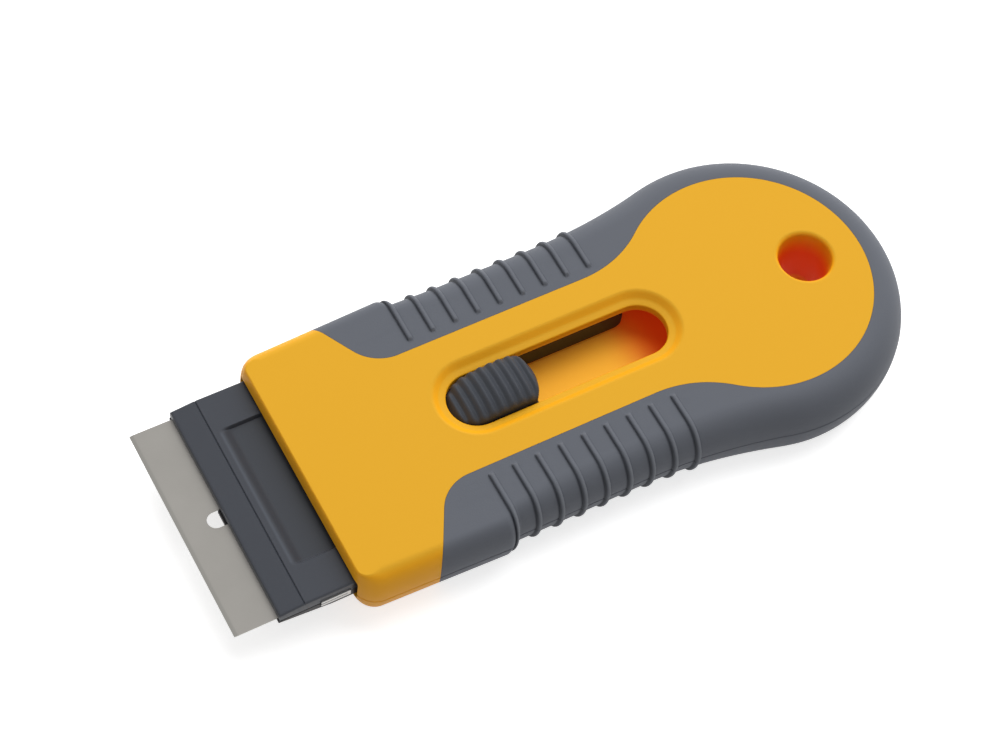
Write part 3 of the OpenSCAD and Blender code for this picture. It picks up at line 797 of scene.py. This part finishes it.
def hollow_tools():
    half = waist_half_w - side_wall
    head = prism("hollow_head", circle(head_x, 0, head_r - side_wall, fine_sides), floor_wall, ceiling_z)
    waist_plan = rounded(rectangle(front_x + lip_wall, -half, head_x, half), hollow_corner_r)
    return head, prism("hollow_waist", waist_plan, floor_wall, ceiling_z)


def mouth_tool():
    """The pocket of the carriage, with an opening that grows towards the front by a quarter circle."""
    cuts = [(holder_back_x + travel + slide_gap, 0.0)]
    for a in quarter_turn:
        cuts.append((front_x + mouth_round * (1 - math.sin(a)), mouth_round * (1 - math.cos(a))))
    cuts.append((front_x - past, mouth_round))
    rings = []
    for x, grow in cuts:
        half = pocket_half_w + grow
        flat = rounded(rectangle(-half, pocket_z - grow, half, ceiling_z + grow), mouth_corner_r + grow)
        rings.append(np.column_stack([np.full(len(flat), x), flat]))
    return loft("mouth", rings)


def hole_tool(radius, top_edge, low_edge, draft=0.0):
    """A bore with round edges above and below. A draft makes it narrower below, as moulded holes are."""
    levels = [(-past, low_edge - draft)]
    for a in quarter_turn[::-1]:
        levels.append((low_edge * (1 - math.sin(a)), low_edge * (1 - math.cos(a)) - draft))
    for a in quarter_turn:
        levels.append((body_t - top_edge * (1 - math.sin(a)), top_edge * (1 - math.cos(a))))
    levels.append((body_t + past, top_edge))
    return stacked("hole", [(circle(0, 0, radius + grow, fine_sides), z) for z, grow in levels])


# The slot's edge from its outer rim down: how far out it lies, and how high against the flat top. It rolls
# over, slopes down to a narrow ledge and rolls over again into the upright wall.
slot_rim_w = 2.9
slot_rim_rise = 0.04
slot_section = (
    (slot_rim_w, past), (slot_rim_w, slot_rim_rise), (2.6, 0.0), (2.35, -0.05), (2.1, -0.17), (1.85, -0.35),
    (1.35, -0.8), (1.12, -0.96), (0.85, -1.04), (0.25, -1.2), (0.1, -1.27), (0.0, -1.42),
    (0.0, -top_wall - past),
)


def slot_tool():
    return stacked("slot", [(stadium(slot_front_x, slot_rear_x, slot_half_w, grow), body_t + drop)
                            for grow, drop in slot_section])


# %% Screws' places and bosses
screw_head_r = 2.6
screw_head_h = 1.6
screw_r = 1.3
screw_len = 8.0
screw_recess = 0.4
screw_count = 4
seat_flare = 0.3
seat_flare_h = 0.25
bore_sides = 24
boss_wall = 0.8
peg_gap = 0.05
screw_seat_z = screw_recess + screw_head_h
screw_tip_z = screw_seat_z + screw_len
boss_r = screw_head_r + peg_gap + boss_wall
screw_places = []
for number in range(1, screw_count + 1):
    low, high = corners(f"housing_screw_{number}")
    screw_places.append(((low[0] + high[0]) / 2, (low[1] + high[1]) / 2))


def shell_skin(name, high):
    """The outside of one half, before its hollow is cut."""
    skin = loft(name, form_rings(smooth_plan, high))
    keep(skin, panel_prism(-joint_gap))
    add(skin, loft("core", form_rings(smooth_plan, high, grow=-grip_t - joint_gap)))
    return skin


# %% Upper half
upper = shell_skin("yellow_upper_half", True)
cut(upper, *hollow_tools(), mouth_tool())
add(upper, prism("tube", circle(0, 0, hang_r + hang_wall, fine_sides), 0, ceiling_z + top_wall / 2))
for x, y in screw_places:
    add(upper, prism("boss", circle(x, y, boss_r), split_h, screw_tip_z + slide_gap))
    cut(upper, prism("bore", circle(x, y, screw_r + peg_gap, bore_sides), 0, screw_tip_z + slide_gap))
cut(upper, hole_tool(hang_r, hole_round, hole_low_round, hole_draft), slot_tool())
dress(upper, "upper_shell", yellow_plastic)

# %% Lower half
well_wall = 1.2
flange_half_w = button_high[1]
rail_t = 1.8
rail_in_y = flange_half_w + slide_gap
rail_out_y = rail_in_y + rail_t
rail_under_z = carrier_low[2]
cover_panel_half_w = 13.0
foot_z = (grip_t + floor_wall) / 2
table_back_x = head_x - head_offset / 2
table_half_w = rail_out_y + well_wall

lower = shell_skin("yellow_lower_half", False)
cut(lower, *hollow_tools(), mouth_tool())
add(lower, soft_box("table", (waist_x, -table_half_w, foot_z),
                    (table_back_x, table_half_w, rail_under_z - slide_gap)))
for side in (1, -1):
    y = side * cover_panel_half_w
    add(lower, soft_box("support", (front_x + lip_wall, y - well_wall / 2, foot_z),
                        (flare_end_x - lip_wall / 2, y + well_wall / 2, pocket_z)))
for x, y in screw_places:
    add(lower, prism("boss", circle(x, y, boss_r), screw_recess / 2, split_h))
    cut(lower, prism("bore", circle(x, y, screw_r + peg_gap, bore_sides), 0, body_t))
    wide = circle(x, y, screw_head_r + seat_flare)
    narrow = circle(x, y, screw_head_r + peg_gap)
    cut(lower, stacked("seat", [(wide, -past), (wide, 0), (narrow, seat_flare_h), (narrow, screw_seat_z)]))
cut(lower, hole_tool(hang_r + hang_wall + joint_gap, hole_low_round, hole_low_round))
dress(lower, "lower_shell", yellow_plastic)

# %% [markdown]
# ## The soft grips
# Each grip is a skin 1.5 mm thick with nine thin ribs on each side. The ribs are moulded in one with it and
# flow into its surface, so they are made by moving the skin's own points outwards, on a plan that is dense
# where the ribs are. They are full height on the side and die away towards the middle.

# %% Ribbed skins
rib_count = 9
rib_pitch = 4.1
rib_start = 1.6
rib_half_w = 0.5
rib_rise = 0.5
rib_inner_rise = 0.45
rib_inner_y = 13.5
rib_full_y = 18.5
rib_foot = 1.2
rib_foot_soft = 1.0
rib_foot_len = 1.5
rib_end_soft = 0.3
rib_room = 1.2
rib_step = 0.1
least_len = 1e-9
rib_x = [flare_end_x + rib_start + i * rib_pitch for i in range(rib_count)]
ribbed_stops = (flare_end_x, flank_step), (rib_x[-1] + rib_room, rib_step), (head_start_x, flank_step)
ribbed_plan = handle_plan(flank_steps(*ribbed_stops))


def rib_height(x):
    nearest = np.min(np.abs(x[..., None] - np.array(rib_x)), axis=-1) / rib_half_w
    return np.sqrt(np.clip(1 - nearest * nearest, 0, 1))


def with_ribs(rings):
    """Moves the rings' points out along the surface's normal where a rib runs."""
    out = -np.stack([ribbed_plan[:, 2], ribbed_plan[:, 3]], axis=1)
    level_z = rings[:, :, 2]
    inset = np.sum((ribbed_plan[None, :, :2] - rings[:, :, :2]) * -out[None], axis=2)
    rise_z = np.gradient(level_z, axis=0)
    rise_in = np.gradient(inset, axis=0)
    length = np.hypot(rise_z, rise_in) + least_len
    turn = np.sign(rise_z[len(rings) // 2].mean())
    outwards = np.abs(rings[:, :, 1]) - rib_inner_y
    full_rise = mix(rib_inner_rise, rib_rise, smooth(outwards / (rib_full_y - rib_inner_y)))
    height = rib_height(rings[:, :, 0]) * full_rise * smooth((outwards + rib_end_soft) / (2 * rib_end_soft))
    height = height * smooth((level_z - rib_foot + rib_foot_soft) / rib_foot_len)
    sideways = turn * rise_z / length
    upwards = turn * rise_in / length
    moved = rings.copy()
    moved[:, :, :2] -= out[None] * (height * sideways)[:, :, None]
    moved[:, :, 2] = np.maximum(moved[:, :, 2] + height * upwards, 0)
    moved[0, :, 2] = split_h
    return moved


def grip_skin(name, high):
    skin = loft(name, with_ribs(form_rings(ribbed_plan, high, flat_top=True)))
    cut(skin, loft("core", form_rings(smooth_plan, high, grow=-grip_t, tail=2.0)), panel_prism(joint_gap))
    return skin


grip = grip_skin("soft_upper_grip", True)
dress(grip, "upper_grip", soft_grip)
grip = grip_skin("soft_lower_grip", False)
for x, y in screw_places:
    if abs(y) > panel_half_w and x < head_blend_x:
        cut(grip, prism("opening", circle(x, y, boss_r + joint_gap), -past, split_h + past))
dress(grip, "lower_grip", soft_grip)

# %% [markdown]
# ## Painted shade and highlight on the ribs
# Each rib's crest gets a paler painted highlight, and the corner at its foot gets a dark line of painted
# shade, wider in front, on the side away from the light. The ribs repeat, so one signal counts millimetres
# from the middle of the nearest rib, and three bands of it give the lines. A painted picture would need the
# grip to be unwrapped.

# %% Painted shade and highlight lines along the ribs
front_shade_line = (-0.85, -0.55, -0.4, -0.15)
rear_shade_line = (0.35, 0.5, 0.55, 0.75)
crest_highlight_line = (-0.2, 0.05, 0.15, 0.4)
front_shade_share = 0.85
rear_shade_share = 0.3
top_shade_share = 0.6
top_highlight_share = 0.2
side_start_y = 19.0
side_full_y = 22.0
ribbed_reach = 1.2
ribbed_core = 0.9
ribbed_inner_y = rib_inner_y - 0.2
ribbed_full_y = rib_inner_y + 0.3
grip_x, grip_y = soft_grip.axes()[:2]
off_grip_middle = grip_y * grip_y
rib_number = grip_x * (1 / (rib_pitch * MM)) - rib_x[0] / rib_pitch
off_rib = (rib_number - rib_number.math("ROUND", rib_number, 0.0)) * rib_pitch
ribbed = grip_x.band((rib_x[0] - ribbed_reach) * MM, (rib_x[0] - ribbed_core) * MM,
                     (rib_x[-1] + ribbed_core) * MM, (rib_x[-1] + ribbed_reach) * MM)
ribbed = ribbed * off_grip_middle.ramp(square(ribbed_inner_y), square(ribbed_full_y))
on_side = off_grip_middle.ramp(square(side_start_y), square(side_full_y))
# Painted shade: a dark line at each rib's foot, wider in front and weaker on the flat top
rib_shade_share = front_shade_share * off_rib.band(*front_shade_line) + rear_shade_share * off_rib.band(*rear_shade_line)
rib_shade_share = ribbed * rib_shade_share * (top_shade_share + (1 - top_shade_share) * on_side)
# Painted highlight: a paler line along each rib's crest
rib_highlight_share = ribbed * off_rib.band(*crest_highlight_line) * (top_highlight_share + (1 - top_highlight_share) * on_side)
rib_shade_tone = soft_grip.blend(rib_shade_share, tint(grip_code), tint("#33363c"))
soft_grip.set("Base Color", soft_grip.blend(rib_highlight_share, rib_shade_tone, tint("#6b6e74")))

# %% [markdown]
# ## The blade and its spine
# The blade is a standard single-edge blade: a thin strip with a ground edge and one slot, and a folded steel
# spine on its back. Both are sections drawn across the tool, so prisms fit them well.

# %% Blade
sheet = (spine_high[2] - spine_low[2] - (blade_top_z - blade_under_z)) / 2
notch_w = 2.9
notch_setback = 4.5
notch_len = 8.6
cutting_half_t = 0.01
middle_z = (blade_top_z + blade_under_z) / 2
blade_section = [
    (blade_low[0], middle_z - cutting_half_t), (blade_low[0], middle_z + cutting_half_t),
    (blade_low[0] + ground_edge_w, blade_top_z), (blade_high[0], blade_top_z),
    (blade_high[0], blade_under_z), (blade_low[0] + ground_edge_w, blade_under_z),
]
razor = prism("razor_blade", blade_section, blade_low[1], blade_high[1], "y")
notch_x = blade_low[0] + notch_setback
notch_plan = stadium(notch_x, notch_x + notch_len, notch_w / 2)
cut(razor, prism("notch", notch_plan, blade_under_z - past, blade_top_z + past))
dress(razor, "blade", blade_metal, sharp_angle=20)

# %% Spine
fold_corner_r = 0.12
fold_edge_r = 0.06
fold_inside_x = spine_high[0] - sheet
spine_section = [
    (spine_low[0], spine_low[2]), (spine_high[0], spine_low[2]), (spine_high[0], spine_high[2]),
    (spine_low[0], spine_high[2]), (spine_low[0], blade_top_z), (fold_inside_x, blade_top_z),
    (fold_inside_x, blade_under_z), (spine_low[0], blade_under_z),
]
spine = prism("blade_spine_fold", rounded(spine_section, fold_corner_r), spine_low[1], spine_high[1], "y",
              edge=fold_edge_r)
dress(spine, "blade_spine", spine_metal)

# %% [markdown]
# ## The blade carriage
# The base is a black plate with a long tail: a well for the thumb button between two rails. The cover is a
# dark grey plate that clamps the blade. Its nose slopes down, a fine crease runs behind the nose, and its
# middle is sunk with a soft ramp in front. The cover's top is a surface worked out on a fine grid.

# %% Carriage base
base_front_x = carrier_low[0] + (blade_top_z - blade_under_z)
base_half_w = cover_high[1]
base_nose_t = 0.5
base_nose_len = 9.0
spine_gap = 0.05
cover_tail = 11.5
cover_panel_depth = 0.7
tab_w = 2.7
tab_len = 6.0
peg_r = 1.5
peg_y = 10.0
peg_edge_r = 0.2
base_corner_r = 0.12
base_edge_r = 0.1
rail_setback = 5.0
well_t = 1.8
press_depth = 1.2
flange_t = 1.2
cover_top_z = cover_high[2]
panel_top_z = cover_top_z - cover_panel_depth
flange_top_z = ceiling_z - slide_gap
flange_under_z = flange_top_z - flange_t
well_top_z = flange_under_z - press_depth - slide_gap
well_under_z = well_top_z - well_t
flange_setback = 2.0
flange_back_x = button_high[0] - flange_setback
well_front_x = button_low[0] - button_gap
well_back_x = flange_back_x + button_gap
rail_front_x = holder_back_x + rail_setback
rail_back_x = carrier_high[0]
spring_x = (well_front_x + well_back_x) / 2
peg_x = holder_back_x + cover_tail / 2

groove_z = spine_low[2] - spine_gap
base_section = [
    (base_front_x, blade_under_z - base_nose_t), (base_front_x + base_nose_len, base_under_z),
    (holder_back_x, base_under_z), (holder_back_x, blade_top_z),
    (spine_high[0] + spine_gap, blade_top_z), (spine_high[0] + spine_gap, groove_z),
    (spine_low[0] - spine_gap, groove_z), (spine_low[0] - spine_gap, blade_under_z),
    (base_front_x, blade_under_z),
]
base = prism("carriage_base", rounded(base_section, base_corner_r), -base_half_w, base_half_w, "y",
             edge=base_edge_r)
add(base, soft_box("tab", (carrier_low[0], -tab_w / 2, blade_under_z - base_nose_t),
                   (carrier_low[0] + tab_len, tab_w / 2, blade_top_z), base_corner_r))
tongue_half_w = cover_panel_half_w - slide_gap
add(base, soft_box("tongue", (holder_back_x - holder_wall, -tongue_half_w, base_under_z),
                   (holder_back_x + cover_tail, tongue_half_w, blade_top_z)))
for side in (1, -1):
    add(base, prism("peg", circle(peg_x, side * peg_y, peg_r), base_under_z + peg_edge_r, panel_top_z,
                    edge=peg_edge_r))

# %% Tail of the base
rail_swell = 0.8
rail_end_r = 1.4
rail_edge_r = 0.5
wall_overlap = 0.3
room_corner_r = 0.05
spigot_r = 1.6
spigot_h = 1.6
spigot_sink = 0.4
tail = soft_box("bridge", (rail_front_x, -rail_out_y, base_under_z), (well_front_x, rail_out_y, blade_top_z))
front_wall = soft_box("front_wall", (well_front_x - well_wall, -rail_out_y, well_under_z),
                      (well_front_x, rail_out_y, flange_top_z))
well_floor = soft_box("well_floor", (well_front_x - wall_overlap, -rail_out_y, well_under_z),
                      (well_back_x + wall_overlap, rail_out_y, well_top_z))
back_wall = soft_box("back_wall", (well_back_x, -rail_out_y, well_under_z),
                     (well_back_x + well_wall, rail_out_y, flange_under_z))
rails = []
for start_x, inner_y in ((rail_front_x, rail_in_y), (well_back_x + well_wall / 2, rail_in_y - rail_swell)):
    side_view = rounded(rectangle(start_x, rail_under_z, rail_back_x, flange_top_z), rail_end_r, steps=10)
    rails.append(prism("rail", side_view, inner_y, rail_out_y, "y", edge=rail_edge_r, steps=5))
    rails.append(prism("rail", side_view, -rail_out_y, -inner_y, "y", edge=rail_edge_r, steps=5))
add(tail, front_wall, well_floor, back_wall, *rails)
cut(tail, soft_box("cover_room", (holder_back_x, -far_out, blade_top_z),
                   (holder_back_x + cover_tail + slide_gap, far_out, body_t), room_corner_r))
add(base, tail, prism("spigot", circle(spring_x, 0, spigot_r), well_top_z - spigot_sink,
                      well_top_z + spigot_h, edge=peg_edge_r))
dress(base, "blade_carrier", black_plastic)

# %% [markdown]
# ## The cover's top
# The cover is one height for each place, seen from above, so a grid of heights says it all: the sloped nose,
# the crease, the sunk panel with its soft ramp and the round edge. The grid is finest along its rim and
# around the crease, where the surface turns most.

# %% Carriage cover
cover_front_x = cover_low[0]
cover_nose_t = 1.45
cover_nose_len = 4.2
cover_panel_setback = 1.1
cover_panel_ramp = 2.4
crease_w = 0.16
crease_depth = 0.16
cover_edge_r = 0.35
cover_edge_steps = 5
cover_step_x = 0.16
cover_step_y = 0.15
panel_side_soft = 0.1
panel_side_len = 0.3
crease_steps = 8
crease_room_share = 1.2
crease_x = cover_front_x + cover_nose_len
ramp_x = crease_x + cover_panel_setback


def round_over(distance, radius):
    """How far a surface drops at a distance from its rim, for a round edge."""
    run = np.clip(radius - distance, 0, radius)
    return radius - np.sqrt(radius * radius - run * run)


def fine_ends(low, high, step, edge_r):
    """Places from low to high that are close together near both ends."""
    near = edge_r * (1 - np.cos(np.linspace(0, math.pi / 2, cover_edge_steps + 1)))
    count = max(2, round((high - low - 2 * edge_r) / step))
    middle = np.linspace(low + edge_r, high - edge_r, count + 1)
    return np.concatenate([low + near[:-1], middle, high - near[:-1][::-1]])


def cover_top(x, y):
    slope = np.clip((x - cover_front_x) / cover_nose_len, 0, 1)
    top = mix(blade_top_z + cover_nose_t, cover_top_z, slope)
    crease = np.clip(1 - np.abs(x - crease_x) / crease_w, 0, 1)
    ramp = smooth((x - ramp_x) / cover_panel_ramp)
    inside = smooth((cover_panel_half_w + panel_side_soft - np.abs(y)) / panel_side_len)
    rim = np.minimum(x - cover_front_x, base_half_w - np.abs(y))
    return top - crease_depth * crease - cover_panel_depth * ramp * inside - round_over(rim, cover_edge_r)


cover_y = fine_ends(-base_half_w, base_half_w, cover_step_y, cover_edge_r)
cover_x = fine_ends(cover_front_x, holder_back_x, cover_step_x, cover_edge_r)
near_crease = np.linspace(crease_x - crease_w, crease_x + crease_w, crease_steps + 1)
off_crease = np.abs(cover_x - crease_x) > crease_room_share * crease_w
cover_x = np.concatenate([cover_x[off_crease], near_crease])
cover_x.sort()
grid_x, grid_y = np.meshgrid(cover_x, cover_y, indexing="ij")
cover = block("carriage_cover", grid_x, grid_y, cover_top(grid_x, grid_y), blade_top_z)
add(cover, soft_box("cover_tongue", (holder_back_x - holder_wall, -tongue_half_w, blade_top_z),
                    (holder_back_x + cover_tail, tongue_half_w, panel_top_z)))
cut(cover, prism("groove", rectangle(spine_low[0] - spine_gap, -far_out, spine_high[0] + spine_gap, far_out),
                 blade_top_z - past, spine_high[2] + spine_gap))
for side in (1, -1):
    cut(cover, prism("peg_hole", circle(peg_x, side * peg_y, peg_r + peg_gap), blade_top_z - past, body_t))
dress(cover, "carrier_cover", cover_plastic)

# %% [markdown]
# ## Painted shade and highlight on the cover
# The sunk panel gets painted shade, a little darker than the nose. The lip in front of its ramp gets a pale
# painted highlight, and the ramp's foot gets the darkest painted shade. Three masks by place do that, with no
# picture to paint.

# %% Masks and colours of the cover's painted shade and highlight
panel_fade = 0.8
panel_dark_start_x = ramp_x + 0.4
panel_dark_full_x = ramp_x + 1.0
foot_full_x = ramp_x + 1.4
foot_end_x = ramp_x + 2.6
lip_x = ramp_x + 0.15
lip_half_w = 0.4
along_cover, across_cover = cover_plastic.axes()[:2]
across_panel = (across_cover * across_cover).ramp(square(cover_panel_half_w),
                                                  square(cover_panel_half_w - panel_fade))
# Painted shade over the sunk panel, darkest at the ramp's foot, and a painted highlight on the lip
panel_shade = across_panel * along_cover.ramp(panel_dark_start_x * MM, panel_dark_full_x * MM)
foot_shade = panel_shade * along_cover.ramp(foot_end_x * MM, foot_full_x * MM)
lip_highlight = along_cover.band((lip_x - lip_half_w) * MM, lip_x * MM, lip_x * MM, (lip_x + lip_half_w) * MM)
panel_shade_tone = cover_plastic.blend(panel_shade, tint(cover_code), tint("#32353b"))
panel_shade_tone = cover_plastic.blend(foot_shade, panel_shade_tone, tint("#2b2d33"))
cover_plastic.set("Base Color", cover_plastic.blend(lip_highlight * across_panel, panel_shade_tone, tint("#41454d")))

# %% [markdown]
# ## The thumb button
# The button is crowned both ways, and rounded ridges run across it from side to side. Its plan is round in
# front and flatter behind. A grid that follows the plan's half width, dense along the button, holds the
# ridges, and the top drops by a quarter circle towards its rim.

# %% Button
button_half_w = slot_half_w - button_gap
button_end_r = 7.0
crown_z = button_high[2]
crown_len_r = 15.0
crown_drop = 1.1
crown_power = 2.8
crown_setback = 9.4
ridge_pitch = 1.7
ridge_shift = 0.4
ridge_depth = 0.5
ridge_power = 1.8
button_edge_r = 0.7
front_places = np.array([0.03, 0.12, 0.28, 0.5])
rear_places = np.array([0.2, 0.1, 0.03])
even_front = 0.6
even_rear = 0.3
even_step = 0.07
button_columns = 45
flange_corner_r = 0.3
spring_r = 2.2
wire_d = 0.45
button_front_x = button_low[0]
button_rear_x = button_high[0]
crown_x = button_front_x + crown_setback
nose_x = button_front_x + button_half_w
end_x = button_rear_x - button_end_r
button_roof = 2.2
spring_top_z = crown_z - button_roof


def button_width(x):
    nose = np.sqrt(np.clip(button_half_w ** 2 - np.clip(nose_x - x, 0, None) ** 2, 0, None))
    end = np.sqrt(np.clip(button_end_r ** 2 - np.clip(x - end_x, 0, None) ** 2, 0, None))
    return np.minimum(np.minimum(nose, end), button_half_w)


def button_rim(x, y):
    """Distance from a point in to the button's outline."""
    nose = np.where(x < nose_x, button_half_w - np.hypot(x - nose_x, y), button_half_w - np.abs(y))
    end = np.where(x > end_x, button_end_r - np.hypot(x - end_x, y), button_half_w)
    return np.clip(np.minimum(nose, end), 0, None)


def button_top(x, y):
    along = crown_len_r - np.sqrt(crown_len_r ** 2 - (x - crown_x) ** 2)
    across = crown_drop * (np.abs(y) / button_half_w) ** crown_power
    arc = crown_len_r * np.arcsin((x - crown_x) / crown_len_r)
    ridge = np.abs(np.sin(math.pi * (arc - ridge_shift) / ridge_pitch)) ** ridge_power
    return crown_z - along - across - ridge_depth * (1 - ridge) - round_over(button_rim(x, y), button_edge_r)


# %% Button with its flange and the spring's pocket
button_x = np.concatenate([
    button_front_x + front_places,
    np.arange(button_front_x + even_front, button_rear_x - even_rear, even_step),
    button_rear_x - rear_places,
])
across_share = np.sin(np.linspace(-math.pi / 2, math.pi / 2, button_columns))
grid_x = np.repeat(button_x[:, None], len(across_share), axis=1)
grid_y = button_width(button_x)[:, None] * across_share[None, :]
button = block("thumb_slider", grid_x, grid_y, button_top(grid_x, grid_y), flange_under_z)
add(button, soft_box("flange", (button_front_x, -flange_half_w, flange_under_z),
                     (flange_back_x, flange_half_w, flange_top_z), flange_corner_r))
cut(button, prism("overhang", rectangle(flange_back_x, -far_out, button_rear_x + past, far_out),
                  flange_under_z - past, ceiling_z))
cut(button, prism("spring_pocket", circle(spring_x, 0, spring_r + wire_d / 2 + button_gap),
                  flange_under_z - past, spring_top_z))
dress(button, "thumb_button", button_plastic, sharp_angle=50)

# %% [markdown]
# ## The spring
# A small coil spring pushes the button up. It is a wire swept along a helix whose first and last turns lie
# flat. It rides on the carriage.

# %% Spring
spring_turns = 5
flat_turns = 0.5
soft_share = 0.15
ring_steps = 28
wire_sides = 10
coil_gap = 0.03
coil_low = spring_low[2] + wire_d / 2
coil_high = spring_high[2] - wire_d / 2 - coil_gap
rings = []
for i in range(ring_steps * spring_turns + 1):
    turn = 2 * math.pi * i / ring_steps
    climbed = (i / ring_steps - flat_turns) / (spring_turns - 2 * flat_turns)
    rise = float(smooth(climbed)) * soft_share
    rise += (1 - soft_share) * min(1, max(0, climbed))
    z = mix(coil_low, coil_high, rise)
    ring = []
    for j in range(wire_sides):
        a = 2 * math.pi * j / wire_sides
        r = spring_r + wire_d / 2 * math.cos(a)
        ring.append((spring_x + r * math.cos(turn), r * math.sin(turn), z + wire_d / 2 * math.sin(a)))
    rings.append(ring)
spring = loft("lock_spring", rings)
dress(spring, "button_spring", spring_metal, sharp_angle=60)
spring_x * MM
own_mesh(spring)

# %% [markdown]
# ## The screws
# Four self-tapping screws hold the shells together from below. Their low round heads with a cross recess
# show in the underside. The thread is a stack of rings, which is close enough inside a boss.

# %% Screws
cross_w = 0.8
cross_reach = 1.7
cross_depth = 1.0
thread_pitch = 0.9
thread_depth = 0.22
thread_shares = (0.3, 0.5, 0.7)
head_flat_r = 0.6
head_edge_r = 0.9
head_edge_steps = 6
shank_h = 0.3
tip_r = 0.3
screw_sides = 40


def screw_profile():
    """Radius and height of the screw's outline, from its head to its point."""
    rows = [(head_flat_r, screw_recess)]
    for a in np.linspace(math.pi / 2, 0, head_edge_steps + 1):
        rows.append((screw_head_r - head_edge_r + head_edge_r * math.cos(a),
                     screw_recess + head_edge_r - head_edge_r * math.sin(a)))
    rows += [(screw_head_r, screw_seat_z), (screw_r, screw_seat_z), (screw_r, screw_seat_z + shank_h)]
    z = screw_seat_z + shank_h
    radii = (screw_r - thread_depth, screw_r, screw_r - thread_depth)
    while z + thread_pitch < screw_tip_z - screw_r:
        rows += [(r, z + share * thread_pitch) for r, share in zip(radii, thread_shares)]
        z += thread_pitch
    rows += [(screw_r - thread_depth, screw_tip_z - screw_r), (tip_r, screw_tip_z)]
    return rows


for number, (x, y) in enumerate(screw_places, start=1):
    levels = [(circle(x, y, r, screw_sides), z) for r, z in screw_profile()]
    screw = stacked(f"underside_screw_{number}", levels)
    for wide, deep in ((cross_reach, cross_w / 2), (cross_w / 2, cross_reach)):
        cut(screw, prism("cross", rectangle(x - wide, y - deep, x + wide, y + deep),
                         screw_recess - past, screw_recess + cross_depth))
    dress(screw, f"housing_screw_{number}", screw_metal)

# %% [markdown]
# ## Floor and light
# The photograph shows the tool on plain white, lit softly from above. One large softbox hangs over it, and a
# dim sky lights the sides. The floor is pale and shows the shadow. What the camera and shiny faces see of
# the floor and the sky is white, and that adds no light to the tool.

# %% Floor
floor_half = 3000.0
floor_drop = 0.02
floor_t = 20.0
floor_plan = rectangle(-floor_half, -floor_half, floor_half, floor_half)
floor = stacked("studio_floor", [(floor_plan, -floor_t - floor_drop), (floor_plan, -floor_drop)])
paper_glow = 0.7
paper = Finish("studio_paper", "#dcdcdc", 0.9, shine=0.0)
plain = Signal(paper, paper.shader.outputs["BSDF"])
extra = paper.node("ShaderNodeEmission", None, {"Strength": paper_glow})
both = paper.node("ShaderNodeAddShader", None, {0: plain, 1: extra})
by_camera = paper.node("ShaderNodeLightPath", output="Is Camera Ray")
seen = by_camera + by_camera.beside("Is Glossy Ray") + by_camera.beside("Is Transmission Ray")
shown = paper.node("ShaderNodeMixShader", None, {0: seen, 1: plain, 2: both})
paper.feed(paper.tree.nodes["Material Output"].inputs["Surface"], shown)
floor.data.materials.append(paper.material)

# %% Sky
sky = bpy.data.worlds.new("studio_sky")
sky.use_nodes = True
bpy.context.scene.world = sky
sky_tree = sky.node_tree
background = sky_tree.nodes["Background"]
background.inputs["Color"].default_value = (1.0, 1.0, 1.0, 1.0)
sky_level = 0.32
light_path = sky_tree.nodes.new("ShaderNodeLightPath")
brightest = None
for ray in ("Is Camera Ray", "Is Glossy Ray", "Is Transmission Ray"):
    level = sky_tree.nodes.new("ShaderNodeMath")
    level.operation = "MAXIMUM"
    level.inputs[1].default_value = sky_level
    sky_tree.links.new(light_path.outputs[ray], level.inputs[0])
    if brightest:
        sky_tree.links.new(brightest, level.inputs[1])
    brightest = level.outputs[0]
sky_tree.links.new(brightest, background.inputs["Strength"])

# %% Softbox
softbox_size = 1.8
softbox_power = 38.0
softbox_place = Vector((0.65, 0.7, 1.2))
softbox_aim = Vector((-0.05, 0.0, 0.0))
lamp = bpy.data.lights.new("softbox", "AREA")
lamp.shape = "SQUARE"
lamp.size = softbox_size
lamp.energy = softbox_power
softbox = bpy.data.objects.new("softbox", lamp)
softbox.location = softbox_place
softbox.visible_glossy = False
softbox.rotation_euler = (softbox_aim - softbox_place).to_track_quat("-Z", "Y").to_euler()
bpy.context.scene.collection.objects.link(softbox)
print("softbox", softbox_size, "m wide at", tuple(round(v, 2) for v in softbox_place))

# %% [markdown]
# ## Camera
# The camera's place, aim, roll and lens were solved from the photograph with the handle's outline, so the
# render has the photograph's view.

# %% Camera
camera_place = Vector((-0.18012, -0.16412, 0.34951))
camera_aim = Vector((-0.05660, 0.00164, 0.012))
camera_roll = math.radians(9.659)
lens = bpy.data.cameras.new("photo_camera")
lens.lens = 90.13
lens.sensor_width = 36.0
lens.sensor_fit = "HORIZONTAL"
lens.clip_start = 0.01
camera = bpy.data.objects.new("photo_camera", lens)
turn = (camera_aim - camera_place).to_track_quat("-Z", "Y").to_matrix()
turn = turn @ Matrix.Rotation(camera_roll, 3, "Z")
camera.matrix_world = Matrix.Translation(camera_place) @ turn.to_4x4()
bpy.context.scene.collection.objects.link(camera)
bpy.context.scene.camera = camera
bpy.context.scene.view_settings.view_transform = "Standard"
